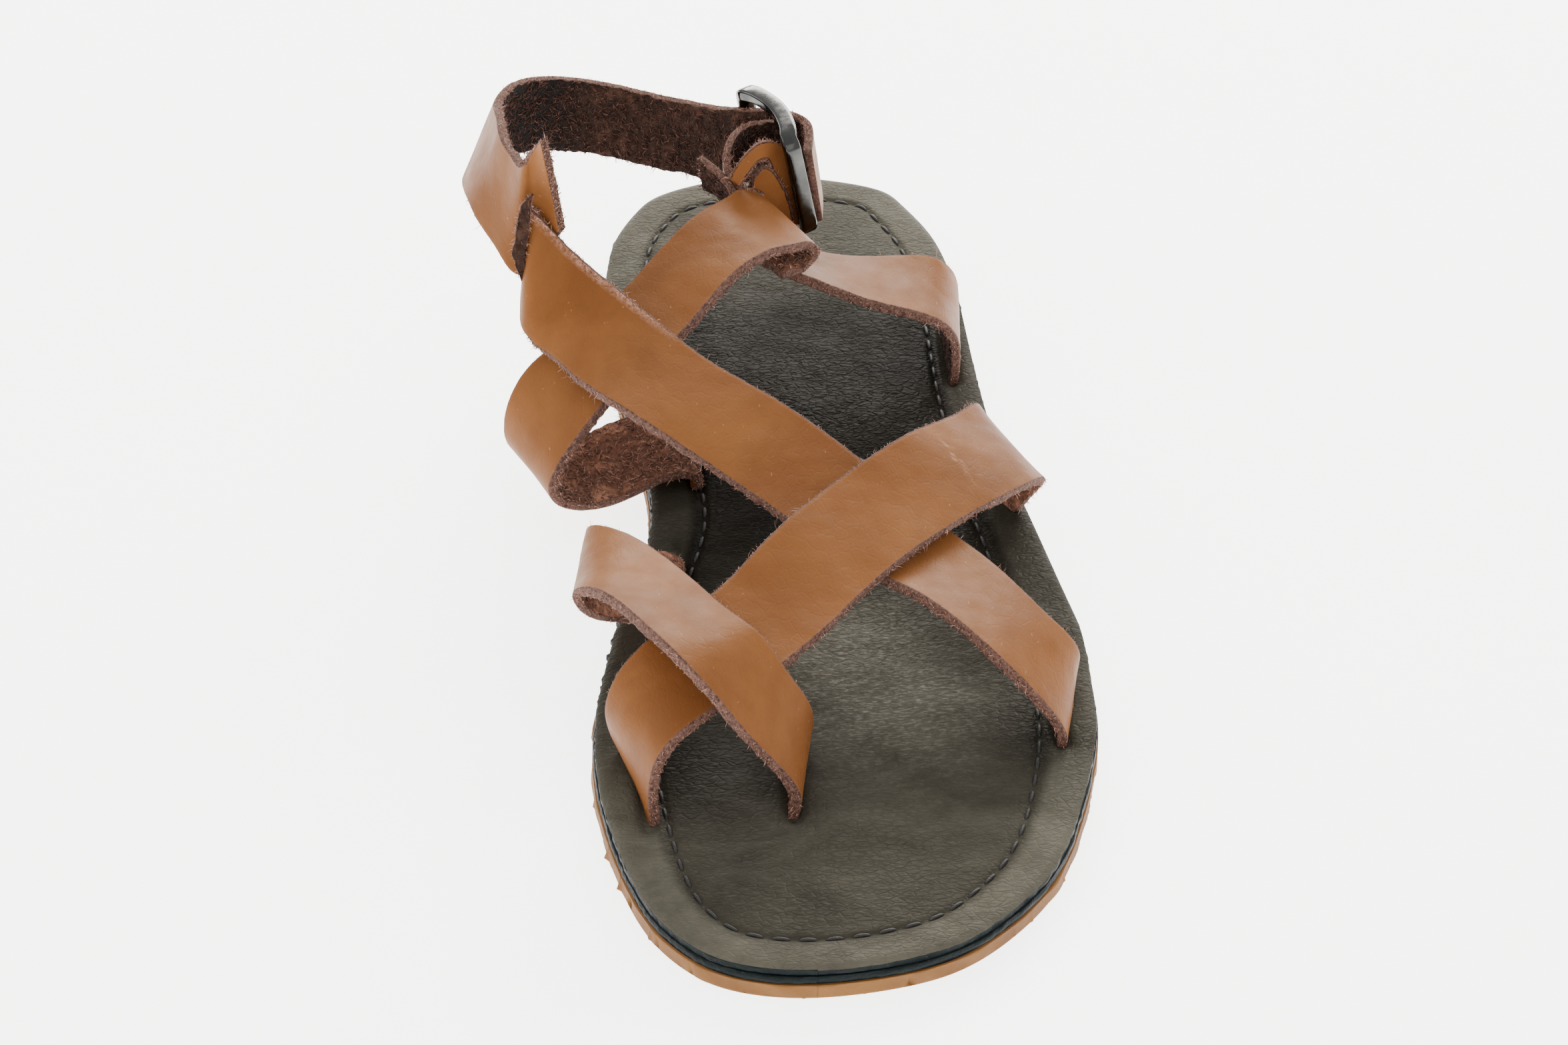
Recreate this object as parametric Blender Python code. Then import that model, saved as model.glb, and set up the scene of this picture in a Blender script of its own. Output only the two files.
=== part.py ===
# Strappy leather sandal, left foot: flat layered sole, four crossing straps, buckled heel strap.
# +X is the outer side, -X the inner side, +Y the heel, -Y the toes, +Z up; lengths below in millimetres.
import bpy
import bmesh
import numpy as np

for old in list(bpy.data.objects):
    bpy.data.objects.remove(old, do_unlink=True)

MM = 0.001
SOLE_LENGTH = 285.0
OUTSOLE_TOP = 3.4
MIDSOLE = (3.6, 5.5)
FOOTBED = (5.7, 8.0)
FOOTBED_INSET = 0.4
LEATHER = 2.2
CLEAR = 0.35            # gap left round a strap where it goes through a slit
SLIT_CLEAR = 0.8        # the same in the heel strap, where the instep strap bends inside its slit
ROOT_HEIGHT = 12.5
UPPER_WIDTH = 24.0
HEEL_WIDTH = 20.0
TAB_WIDTH = 18.0
FRAME_BAR = 3.0         # buckle frame bar, height across and depth
FRAME_DEEP = 2.4
PRONG_DIA = 2.0

# Sole outline. Columns: distance from the heel end, inner edge x, outer edge x
SOLE = (
    (5.5, -29, 20), (14, -38, 27), (28, -43.5, 34), (43, -45.5, 37.5), (57, -46, 39),
    (85, -45, 40), (114, -41, 42), (143, -40.5, 46.5), (171, -48, 51), (185, -51.5, 53),
    (200, -54.5, 53), (214, -56, 52.5), (228, -56, 49.5), (242, -54.5, 45), (257, -51.5, 37),
    (271, -46, 24.5), (280, -39, 11))
HEEL_TIP_X = -5.0
TOE_TIP_X = -14.0

# Straps. Columns: x, y, z of the strap's middle, then where its width points:
# yaw in plan from +X toward the heel, and tip above the floor plane, in degrees.
TOE_STRAP = (
    (-15, -88, 4.7, 90, 0), (-13, -88, 21, 82, 0), (-19, -83, 34, 64, 3), (-31, -71, 38.4, 44, 1),
    (-43, -57, 36, 38, -3), (-52, -43, 33, 46, 4), (-56, -33, 24, 66, 9), (-53, -28, 16.5, 86, -6),
    (-45, -21, 13, 90, 0), (-37, -19, 11.5, 90, 0), (-34.3, -19, 7.5, 90, 0), (-34, -19, 4.7, 90, 0))
FRONT_STRAP = (
    (-46, -89, 4.7, 90, 0), (-49, -87, 20, 108, -5), (-38, -79, 31, 126, 4), (-22, -65, 33, 133, 10),
    (-7, -51, 35, 137, 18), (6, -36, 36, 139, 20), (20, -19, 36, 141, 11), (32, -5, 32, 134, 6),
    (41.5, 8.5, 22, 114, 14), (42.5, 14, 14.2, 100, 4), (38, 15, 11.2, 93, 0), (35, 15, 4.7, 90, 0))
INSTEP_STRAP = (
    (44, -67, 4.7, 90, 0), (46, -66, 16, 78, 3), (38, -61, 25, 58, -3), (24, -49, 29, 46, -2),
    (11, -36, 30, 43, 2), (-3, -21, 32, 43, 4), (-20, -4, 36, 44, 7), (-35, 10, 39.5, 45, 8),
    (-48, 23, 43, 48, 14), (-58, 34.5, 49, 60, 24), (-66.5, 43.5, 50, 84, 32), (-65, 52.5, 40.5, 92, 30),
    (-56, 54, 28, 92, 18), (-45, 54, 18, 90, 5), (-38.5, 55, 11, 90, 0), (-36, 55, 5, 90, 0))

ANKLE_STRAP = (
    (-14, 58, 41.4, 126, 3), (-9, 61.8, 41.2, 126, 5), (-4.4, 65.3, 41.4, 126, 8), (-1.2, 67.8, 44.8, 126, 8),
    (-4.4, 65.3, 48.2, 126, 8), (-9.5, 61.6, 49.2, 127, 4), (-17, 56, 49.5, 129, -3), (-28, 47, 46, 129, -8),
    (-40, 36, 40.5, 129, -9), (-51, 26, 36.5, 128, -8), (-61, 17, 30, 124, -4), (-64, 13, 18, 112, -4),
    (-56, 15, 12, 108, 0), (-44, 22, 11.5, 102, 0), (-34, 26.5, 11, 94, 0), (-29.6, 27.8, 8, 90, 0),
    (-29, 28, 4.7, 90, 0))
ANKLE_RISER = (
    (34, 65, 4.7, 90, 0), (35, 64, 18, 85, 3), (28, 61, 28, 88, 2), (14, 61, 31, 92, -8),
    (1, 63, 34, 96, -14), (-9, 66, 37.5, 104, -8), (-15, 69, 40.5, 112, -2))
# Heel strap, from its slit tab by the inner ankle round the heel to its end outside the buckle.
HEEL_STRAP = (
    (-63, 69, 71, 90, -38), (-64, 61, 61, 90, -38), (-65, 52, 51, 90, -40), (-68, 46, 44, 92, -42),
    (-71.5, 48, 45, 100, -48), (-73, 58, 52, 115, -55), (-75, 72, 57, 140, -64),
    (-73, 88, 57, 165, -74), (-64, 101, 54, 180, -85), (-48, 107, 50, 180, -90),
    (-36, 107.5, 47, 180, -90), (-27, 105.5, 48, 180, -90), (-19.5, 100, 49, 180, -88),
    (-13.5, 93, 49.3, 180, -86), (-7, 87, 49.3, 180, -83), (-2, 83.5, 49.3, 180, -80), (1.6, 80, 49.2, 180, -80))
# Buckle strap, with its own width in a last column: from its tail, through the ankle strap's fold,
# then up, round the frame's near bar and back.
BUCKLE_STRAP = (
    (-25, 80, 48.5, 55, -20, 9), (-16, 75.5, 47.2, 44, -8, 9), (-10, 69.3, 45.8, 36, 0, 8.5),
    (-6.2, 64, 44.9, 36, 0, 8.5), (-2, 58.2, 44, 36, 0, 8.5), (1.6, 53.4, 43.6, 36, -6, 9),
    (4.8, 52.4, 45.8, 33, -20, 10), (6, 55.4, 49, 25, -40, 12), (5.4, 61, 51.6, 12, -60, 15),
    (3.6, 67, 51.8, 2, -74, 16), (2.2, 73.6, 50.8, 0, -79, 17), (-1.0, 77.9, 50.8, 180, -89, 16),
    (-6, 79, 51.6, 180, -88, 15), (-11.5, 81, 54, 180, -84, 13))
# Buckle frame corners: near bar and far bar, top and bottom; the sides bow outward.
NEAR_BAR = ((-3.8, 74, 62), (1.2, 74, 37))
FAR_BAR = ((-13.2, 98, 61.5), (-8.2, 98, 36.5))
FRAME_BOW = 3.0
# Prong rows: share of the way from the near bar to the far bar, and how far it stands out of the frame.
PRONG = ((0.09, 0.2), (0.2, 0.5), (0.55, 2.2), (0.85, 2.7), (1.08, 2.5))


def smooth(rows, count):
    """Natural cubic through the rows, one unit of the parameter from each row to the next."""
    rows = np.array(rows, float)
    n = len(rows)
    lhs, rhs = np.eye(n), np.zeros_like(rows)
    for i in range(1, n - 1):
        lhs[i, i - 1:i + 2] = 1.0, 4.0, 1.0
        rhs[i] = 6.0 * (rows[i - 1] - 2.0 * rows[i] + rows[i + 1])
    bend = np.linalg.solve(lhs, rhs)
    t = np.linspace(0, n - 1, count)
    i = np.clip(t.astype(int), 0, n - 2)
    f = (t - i)[:, None]
    return ((1 - f) * rows[i] + f * rows[i + 1]
            + ((f ** 3 - f) * bend[i + 1] + ((1 - f) ** 3 - (1 - f)) * bend[i]) / 6.0)


def strap_axes(rows, step=4.0, turn=18.0):
    """Points along the strap, one for each step of length or turn of direction, whichever adds up;
    with the strap's run, width and thickness directions at each."""
    fine = smooth(rows, 1600)
    ahead = np.gradient(fine[:, :3], axis=0)
    pace = np.linalg.norm(ahead, axis=1)
    ahead /= pace[:, None]
    swing = np.degrees(np.linalg.norm(np.gradient(ahead, axis=0), axis=1))
    run = np.concatenate([[0], np.cumsum((pace / step + swing / turn)[1:])])
    at = np.linspace(0, run[-1], int(run[-1]) + 2)
    track = np.stack([np.interp(at, run, fine[:, k]) for k in range(fine.shape[1])], 1)
    mid = track[:, :3]
    along = np.stack([np.interp(at, run, ahead[:, k]) for k in range(3)], 1)
    along /= np.linalg.norm(along, axis=1)[:, None]
    yaw, tip = np.radians(track[:, 3]), np.radians(track[:, 4])
    wide = np.stack([np.cos(tip) * np.cos(yaw), np.cos(tip) * np.sin(yaw), np.sin(tip)], 1)
    wide -= (wide * along).sum(1)[:, None] * along
    wide /= np.linalg.norm(wide, axis=1)[:, None]
    return mid, along, wide, np.cross(along, wide), track[:, 5:]


def new_object(name, points, faces):
    mesh = bpy.data.meshes.new(name)
    mesh.from_pydata([tuple(float(v) * MM for v in p) for p in points], [], faces)
    mesh.validate()
    body = bmesh.new()
    body.from_mesh(mesh)
    bmesh.ops.recalc_face_normals(body, faces=body.faces)
    if body.calc_volume(signed=True) < 0:
        bmesh.ops.reverse_faces(body, faces=body.faces)
    body.to_mesh(mesh)
    body.free()
    thing = bpy.data.objects.new(name, mesh)
    bpy.context.scene.collection.objects.link(thing)
    return thing


def tube(name, rings, closed=False):
    """Skin over rings of equal size; open tubes get an end face at each end.
    The two halves of a ring are split so that a ribbon's two faces fold along the same diagonals."""
    rings = np.asarray(rings)
    n, m = rings.shape[:2]
    faces = []
    for i in range(n if closed else n - 1):
        a, b = i * m, ((i + 1) % n) * m
        for j in range(m):
            k = (j + 1) % m
            if j < m // 2:
                faces += [(a + j, a + k, b + k), (a + j, b + k, b + j)]
            else:
                faces += [(a + j, a + k, b + j), (a + k, b + k, b + j)]
    if not closed:
        faces.append(tuple(range(m))[::-1])
        faces.append(tuple((n - 1) * m + j for j in range(m)))
    return new_object(name, rings.reshape(-1, 3), faces)


def ribbon(name, rows, width, thick, grow=0.0, step=4.0, ends=0.0, root=None):
    """Leather strap: a flat section, softened at its corners, carried along the rows.
    With a root, only the run below ROOT_HEIGHT at its first or last end."""
    mid, along, wide, up, own = strap_axes(rows, step)
    if ends:
        mid = np.concatenate([mid[:1] - along[0] * ends, mid, mid[-1:] + along[-1] * ends])
        along, wide, up, own = (np.concatenate([a[:1], a, a[-1:]]) for a in (along, wide, up, own))
    if root is not None:
        high = np.nonzero(mid[:, 2] > ROOT_HEIGHT)[0]
        keep = slice(0, high[0] + 1) if root == 'first' else slice(high[-1], len(mid))
        mid, along, wide, up = mid[keep], along[keep], wide[keep], up[keep]
    t = thick / 2 + grow
    c = min(0.5, t * 0.5)
    rings = []
    for i in range(len(mid)):
        w = (own[i, 0] if own.size else width) / 2 + grow
        section = ((-w, -t + c), (-w + c, -t), (w - c, -t), (w, -t + c),
                   (w, t - c), (w - c, t), (-w + c, t), (-w, t - c))
        rings.append([mid[i] + wide[i] * a + up[i] * b for a, b in section])
    return tube(name, rings)


def boolean(body, other, kind):
    other.hide_render = True
    other.display_type = 'WIRE'
    mod = body.modifiers.new(kind, 'BOOLEAN')
    mod.operation = kind
    mod.solver = 'EXACT'
    mod.object = other
    bpy.context.view_layer.objects.active = body
    for thing in bpy.context.selected_objects:
        thing.select_set(False)
    body.select_set(True)
    bpy.ops.object.modifier_apply(modifier=mod.name)
    bpy.data.objects.remove(other, do_unlink=True)


def drop_offcuts(thing):
    """Keep only the largest connected piece, as a cutter does with what falls out of a slit."""
    body = bmesh.new()
    body.from_mesh(thing.data)
    left, pieces = set(body.verts), []
    while left:
        todo = [left.pop()]
        piece = list(todo)
        while todo:
            for edge in todo.pop().link_edges:
                for vert in edge.verts:
                    if vert in left:
                        left.discard(vert)
                        todo.append(vert)
                        piece.append(vert)
        pieces.append(piece)
    pieces.sort(key=len)
    for piece in pieces[:-1]:
        bmesh.ops.delete(body, geom=piece, context='VERTS')
    body.to_mesh(thing.data)
    body.free()


def outline(count=96):
    """Closed sole outline from the table: up the inner side, round the toe, back down the outer side."""
    half = SOLE_LENGTH / 2
    inner = [(row[1], half - row[0]) for row in SOLE]
    outer = [(row[2], half - row[0]) for row in SOLE]
    loop = [(HEEL_TIP_X, half)] + inner + [(TOE_TIP_X, -half)] + outer[::-1]
    loop = np.array(loop, float)
    wrap = np.concatenate([loop[-6:], loop, loop[:7]])
    n, per = len(loop), 24
    fine = smooth(wrap, (len(wrap) - 1) * per + 1)[6 * per:(6 + n) * per]
    fine = np.concatenate([fine, fine[:1]])
    run = np.concatenate([[0], np.cumsum(np.linalg.norm(np.diff(fine, axis=0), axis=1))])
    at = np.linspace(0, run[-1], count + 1)[:-1]
    return np.stack([np.interp(at, run, fine[:, 0]), np.interp(at, run, fine[:, 1])], 1)


def offset(loop, gap):
    """Move each outline point inward by the gap, square to the outline."""
    ahead = np.roll(loop, -1, axis=0) - np.roll(loop, 1, axis=0)
    square = np.stack([ahead[:, 1], -ahead[:, 0]], 1)
    square /= np.linalg.norm(square, axis=1)[:, None]
    if ((loop - loop.mean(0)) * square).sum() > 0:
        square = -square
    return loop + square * gap


def slab(name, levels):
    """Sole layer. Levels: (height, inset of the outline) from the bottom to the top."""
    base = outline()
    rings = [[(x, y, z) for x, y in offset(base, inset)] for z, inset in levels]
    return tube(name, rings)


def coat(thing, name, colour, rough, metal=0.0):
    mat = bpy.data.materials.new(name)
    mat.use_nodes = True
    shader = mat.node_tree.nodes['Principled BSDF']
    shader.inputs['Base Color'].default_value = (*colour, 1.0)
    shader.inputs['Roughness'].default_value = rough
    shader.inputs['Metallic'].default_value = metal
    thing.data.materials.clear()
    thing.data.materials.append(mat)
    for face in thing.data.polygons:
        face.use_smooth = True
        face.material_index = 0


# ---- sole layers
outsole = slab('outsole', ((0, 1.0), (0.6, 0.2), (2.9, 0.0), (OUTSOLE_TOP, 0.3)))
midsole = slab('midsole', ((MIDSOLE[0], 0.5), (MIDSOLE[1], 0.5)))
footbed = slab('footbed', ((FOOTBED[0], 0.6), (FOOTBED[1] - 0.8, FOOTBED_INSET), (FOOTBED[1], 1.3)))
ROOTS = ((TOE_STRAP, 'first'), (TOE_STRAP, 'last'), (FRONT_STRAP, 'first'), (FRONT_STRAP, 'last'),
         (INSTEP_STRAP, 'first'), (INSTEP_STRAP, 'last'), (ANKLE_STRAP, 'last'), (ANKLE_RISER, 'first'))
for layer in (midsole, footbed):
    for rows, root in ROOTS:
        slot = ribbon('slot', rows, UPPER_WIDTH, LEATHER, grow=CLEAR, ends=2.5, root=root)
        boolean(layer, slot, 'DIFFERENCE')

# ---- the four straps over the foot, joined where they cross
upper = ribbon('upper_straps', INSTEP_STRAP, UPPER_WIDTH, LEATHER)
for rows in (ANKLE_STRAP, ANKLE_RISER, FRONT_STRAP, TOE_STRAP):
    boolean(upper, ribbon('part', rows, UPPER_WIDTH, LEATHER), 'UNION')

# ---- heel strap, slit for the instep strap
heel = ribbon('heel_strap', HEEL_STRAP, HEEL_WIDTH, LEATHER)
boolean(heel, ribbon('slit', INSTEP_STRAP, UPPER_WIDTH, LEATHER, grow=SLIT_CLEAR), 'DIFFERENCE')
drop_offcuts(heel)

# ---- buckle strap
tab = ribbon('buckle_strap', BUCKLE_STRAP, TAB_WIDTH, LEATHER - 0.2)


def frame_path(steps=9):
    """Closed run round the four bars, with the two short sides bowed away from the foot."""
    near_top, near_low = (np.array(p, float) for p in NEAR_BAR)
    far_top, far_low = (np.array(p, float) for p in FAR_BAR)
    out = np.cross(far_top - near_top, near_low - near_top)
    out /= np.linalg.norm(out)
    if out[0] < 0:
        out = -out
    corners = (near_top, far_top, far_low, near_low)
    path = []
    for i in range(4):
        a, b = corners[i], corners[(i + 1) % 4]
        bow = FRAME_BOW if i in (0, 2) else 0.0
        for t in np.linspace(0.12, 0.88, steps):
            path.append(a + (b - a) * t + out * bow * np.sin(np.pi * t))
    return np.array(path), out


def frame_rings(path, out, bar, deep):
    """Rounded bar section at each point of the frame's run."""
    ahead = np.roll(path, -1, axis=0) - np.roll(path, 1, axis=0)
    ahead /= np.linalg.norm(ahead, axis=1)[:, None]
    side = np.cross(ahead, out)
    side /= np.linalg.norm(side, axis=1)[:, None]
    turn = np.linspace(0, 2 * np.pi, 13)[:-1]
    rings = []
    for i in range(len(path)):
        face = np.cross(side[i], ahead[i])
        rings.append([path[i] + side[i] * np.cos(a) * bar / 2 + face * np.sin(a) * deep / 2 for a in turn])
    return rings


def prong_rings(out, grow=0.0, sides=10):
    """Round rings along the prong, from beside the near bar to just past the far bar."""
    near = (np.array(NEAR_BAR[0], float) + NEAR_BAR[1]) / 2
    far = (np.array(FAR_BAR[0], float) + FAR_BAR[1]) / 2
    rows = smooth(PRONG, 15)
    path = near + (far - near) * rows[:, :1] + out * rows[:, 1:]
    ahead = np.gradient(path, axis=0)
    ahead /= np.linalg.norm(ahead, axis=1)[:, None]
    path[0] -= ahead[0] * grow
    path[-1] += ahead[-1] * grow
    side = np.cross(ahead, out)
    side /= np.linalg.norm(side, axis=1)[:, None]
    face = np.cross(side, ahead)
    turn = np.linspace(0, 2 * np.pi, sides + 1)[:-1]
    size = PRONG_DIA / 2 + grow
    return [[path[i] + (side[i] * np.cos(a) + face[i] * np.sin(a)) * size for a in turn]
            for i in range(len(path))]


# ---- buckle frame, and the prong through both straps
run, outward = frame_path()
frame = tube('buckle_frame', frame_rings(run, outward, FRAME_BAR, FRAME_DEEP), closed=True)
prong = tube('buckle_prong', prong_rings(outward))
for strap in (heel, tab):
    boolean(strap, tube('hole', prong_rings(outward, grow=CLEAR)), 'DIFFERENCE')

RUBBER, FOAM, BLACK, TAN, STEEL = ((0.42, 0.24, 0.09), (0.02, 0.022, 0.025), (0.05, 0.047, 0.042),
                                   (0.43, 0.19, 0.07), (0.55, 0.55, 0.54))
coat(outsole, 'outsole_rubber', RUBBER, 0.75)
coat(midsole, 'midsole_foam', FOAM, 0.7)
coat(footbed, 'footbed_leather', BLACK, 0.55)
coat(upper, 'strap_leather', TAN, 0.5)
coat(heel, 'heel_strap_leather', TAN, 0.5)
coat(tab, 'buckle_strap_leather', TAN, 0.5)
coat(frame, 'buckle_metal', STEEL, 0.25, 1.0)
coat(prong, 'prong_metal', STEEL, 0.3, 1.0)
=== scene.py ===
import math

import bpy
import numpy as np
from mathutils import Matrix


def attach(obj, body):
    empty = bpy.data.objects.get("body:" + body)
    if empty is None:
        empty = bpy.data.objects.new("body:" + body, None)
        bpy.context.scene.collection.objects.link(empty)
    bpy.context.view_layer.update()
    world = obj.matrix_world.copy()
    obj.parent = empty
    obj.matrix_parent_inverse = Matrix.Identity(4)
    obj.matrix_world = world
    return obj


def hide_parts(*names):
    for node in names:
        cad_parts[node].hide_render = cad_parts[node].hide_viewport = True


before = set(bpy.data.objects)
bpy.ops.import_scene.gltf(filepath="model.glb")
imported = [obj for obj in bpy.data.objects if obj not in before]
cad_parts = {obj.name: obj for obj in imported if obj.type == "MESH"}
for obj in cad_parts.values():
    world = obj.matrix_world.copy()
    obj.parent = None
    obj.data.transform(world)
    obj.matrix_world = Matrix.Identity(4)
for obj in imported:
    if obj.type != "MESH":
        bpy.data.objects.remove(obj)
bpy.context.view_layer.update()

mm = 0.001
print("frame loaded:", len(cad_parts), "nodes")


def smoothRows(rows, count):
    # natural cubic through the rows, one unit of the parameter from each row to the next
    rows = np.array(rows, float)
    n = len(rows)
    left, right = np.eye(n), np.zeros_like(rows)
    k = np.arange(1, n - 1)
    left[k, k - 1], left[k, k], left[k, k + 1] = 1.0, 4.0, 1.0
    right[k] = 6.0 * (rows[k - 1] - 2.0 * rows[k] + rows[k + 1])
    bend = np.linalg.solve(left, right)
    t = np.linspace(0, n - 1, count)
    i = np.clip(t.astype(int), 0, n - 2)
    f = (t - i)[:, None]
    return ((1 - f) * rows[i] + f * rows[i + 1]
            + ((1 - f) ** 3 - (1 - f)) * bend[i] / 6.0 + (f ** 3 - f) * bend[i + 1] / 6.0)


def unit(v):
    # each vector over its own length
    return v / np.maximum(np.linalg.norm(v, axis=-1, keepdims=True), 1e-9)


def runOf(line):
    # length from the first point of a line to each of its points
    return np.concatenate([[0], np.cumsum(np.linalg.norm(np.diff(line, axis=0), axis=1))])


def loopAhead(loop):
    # on a closed line, from the point before to the point after each one
    return np.roll(loop, -1, axis=0) - np.roll(loop, 1, axis=0)


def loopEased(loop, rounds):
    # in each round a point moves halfway to the mean of its two neighbours
    for _ in range(rounds):
        loop = (np.roll(loop, 1, axis=0) + loop * 2 + np.roll(loop, -1, axis=0)) / 4
    return loop


def loopClosed(loop, step=1):
    # every so many points of a closed line, then the first one again
    return np.concatenate([loop[::step], loop[:1]])


def outward(loop):
    # unit normals of a closed plan line, turned away from its middle
    ahead = loopAhead(loop)
    out = unit(np.stack([-ahead[:, 1], ahead[:, 0]], 1))
    return -out if ((loop - loop.mean(0)) * out).sum() < 0 else out


def tube(mid, side, face, corners, size):
    # round rings about a line: side by the cosine and face by the sine, times the size
    turn = np.linspace(0, 2 * np.pi, corners + 1)[:-1]
    ring = side[..., None, :] * np.cos(turn)[:, None] + face[..., None, :] * np.sin(turn)[:, None]
    return mid[..., None, :] + ring * size[..., None, None]


def lumps(points, size, seed, waves=10):
    # soft lumps of about that size in mm: a sum of sine waves in seeded directions, about -1 to 1
    rng = np.random.default_rng(seed)
    aim = unit(rng.normal(size=(waves, points.shape[-1])))
    pace = 2 * np.pi / (size * rng.uniform(0.7, 1.7, waves))
    return np.sin(points @ (aim * pace[:, None]).T + rng.uniform(0, 6.28, waves)).sum(-1) / waves ** 0.5


def jagged(run, spacing, seed):
    # seeded heights at even spacing along a run in mm, joined by straight lines
    rng = np.random.default_rng(seed)
    knots = rng.normal(size=int(np.max(run) / spacing) + 3)
    return np.interp(run / spacing, np.arange(len(knots)), knots)


def nearest(points, line):
    # distance from each plan point to a polyline: the least over its segments
    a, b = line[:-1], line[1:]
    ab = b - a
    size = (ab ** 2).sum(1)
    out = np.empty(len(points))
    chunk = 4000   # points at a time, to spare memory
    for part in np.array_split(np.arange(len(points)), max(1, len(points) // chunk)):
        p = points[part][:, None, :]
        t = np.clip(((p - a) * ab).sum(-1) / size, 0, 1)
        out[part] = np.sqrt((((a + ab * t[..., None]) - p) ** 2).sum(-1)).min(1)
    return out


def putMesh(name, points, groups, kinds=None, marks=None):
    # points in mm; groups are arrays of faces, each with one corner count; outward by signed volume
    volume = sum(np.einsum('ij,ij->i', points[g[:, 0]], np.cross(points[g[:, c]], points[g[:, c + 1]])).sum()
                 for g in groups for c in range(1, g.shape[1] - 1))
    if volume < 0:
        groups = [g[:, ::-1] for g in groups]
    corners = np.concatenate([g.ravel() for g in groups]).astype(np.int32)
    sizes = np.concatenate([np.full(len(g), g.shape[1]) for g in groups])
    mesh = bpy.data.meshes.new(name)
    mesh.vertices.add(len(points))
    mesh.loops.add(len(corners))
    mesh.polygons.add(len(sizes))
    mesh.vertices.foreach_set("co", (points * mm).astype(np.float32).ravel())
    mesh.loops.foreach_set("vertex_index", corners)
    mesh.polygons.foreach_set("loop_start", np.concatenate([[0], np.cumsum(sizes)[:-1]]).astype(np.int32))
    mesh.polygons.foreach_set("use_smooth", np.ones(len(sizes), bool))
    if kinds is not None:
        mesh.polygons.foreach_set("material_index", np.concatenate(kinds).astype(np.int32))
    for label, values in (marks or {}).items():
        mesh.attributes.new(label, 'FLOAT', 'POINT').data.foreach_set("value", values.astype(np.float32))
    mesh.update(calc_edges=True)
    mesh.validate()
    piece = bpy.data.objects.new(name, mesh)
    bpy.context.scene.collection.objects.link(piece)
    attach(piece, "root")
    return piece


def ringFaces(n, m, closed=False):
    # quads between n rings of m points; the rings wrap round, and the run does too when closed
    i, j = np.meshgrid(np.arange(n if closed else n - 1), np.arange(m), indexing="ij")
    a, b, k = i * m, (i + 1) % n * m, (j + 1) % m
    return np.stack([a + j, a + k, b + k, b + j], -1).reshape(-1, 4)


def skin(name, rings, kinds=None, marks=None, closed=False):
    # surface over rings of points, with a fan to a middle point at each open end
    n, m = rings.shape[:2]
    points, groups = rings.reshape(-1, 3), [ringFaces(n, m, closed)]
    faceKinds = [np.tile(kinds, n if closed else n - 1)] if kinds is not None else None
    if not closed:
        points = np.concatenate([points, rings[:1].mean(1), rings[-1:].mean(1)])
        j = np.arange(m)
        k = (j + 1) % m
        first, last = np.full(m, n * m), np.full(m, n * m + 1)
        groups.append(np.concatenate([np.stack([k, j, first], 1),
                                      np.stack([(n - 1) * m + j, (n - 1) * m + k, last], 1)]))
        if kinds is not None:
            faceKinds.append(np.full(2 * m, 1))
        marks = {label: np.concatenate([v.ravel(), v[0].mean(keepdims=True), v[-1].mean(keepdims=True)])
                 for label, v in (marks or {}).items()}
    else:
        marks = {label: v.ravel() for label, v in (marks or {}).items()}
    return putMesh(name, points, groups, faceKinds, marks)


def fibres(name, root, first, second, length, thick, shade):
    # bent thin fibres: three corners at the root, three at the knee and one at the tip
    side = unit(np.cross(first, second + 0.01))
    other = np.cross(first, side)
    turn = np.radians([0, 120, 240])[None, :, None]
    ring = side[:, None] * np.cos(turn) + other[:, None] * np.sin(turn)
    knee = root + first * length[:, None] * 0.5
    tip = knee + second * length[:, None] * 0.5
    width = thick[:, None, None]
    points = np.concatenate([root[:, None] + ring * width, knee[:, None] + ring * width * 0.8,
                             tip[:, None]], 1)
    base = (np.arange(len(root)) * 7)[:, None, None]
    quads = base + np.array([[0, 1, 4, 3], [1, 2, 5, 4], [2, 0, 3, 5]])
    tris = base + np.array([[3, 4, 6], [4, 5, 6], [5, 3, 6], [2, 1, 0]])
    return putMesh(name, points.reshape(-1, 3), [quads.reshape(-1, 4), tris.reshape(-1, 3)],
                   marks={"shade": np.repeat(shade, 7)})


def newMaterial(name, rough, metal=0.0, **plain):
    # a principled material, with the plain values on the shader's own sockets
    mat = bpy.data.materials.new(name)
    mat.use_nodes = True
    tree = mat.node_tree
    shader = tree.nodes["Principled BSDF"]
    shader.inputs["Roughness"].default_value = rough
    shader.inputs["Metallic"].default_value = metal
    for socket, value in plain.items():
        shader.inputs[socket.replace("_", " ")].default_value = value
    return mat, tree, shader


def addNode(tree, kind, sockets=None, **settings):
    # a node with its settings, and its sockets linked or set
    node = tree.nodes.new(kind)
    for key, value in settings.items():
        setattr(node, key, value)
    for key, value in (sockets or {}).items():
        if isinstance(value, bpy.types.NodeSocket):
            tree.links.new(value, node.inputs[key])
        else:
            node.inputs[key].default_value = value
    return node


def place(tree, stretch=(1, 1, 1)):
    # object coordinates, stretched before a pattern is laid on them
    where = addNode(tree, "ShaderNodeTexCoord").outputs["Object"]
    return addNode(tree, "ShaderNodeMapping", {"Vector": where, "Scale": stretch}).outputs["Vector"]


def noise(tree, where, scale, detail=3.0, rough=0.55, warp=0.0):
    # fractal noise, about 0 to 1
    return addNode(tree, "ShaderNodeTexNoise", {"Vector": where, "Scale": scale, "Detail": detail,
                                                "Roughness": rough, "Distortion": warp}).outputs["Fac"]


def cells(tree, where, scale, feature="F1"):
    # distance to the nearest cell's point, or to the cell's edge
    return addNode(tree, "ShaderNodeTexVoronoi", {"Vector": where, "Scale": scale},
                   feature=feature).outputs["Distance"]


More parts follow.
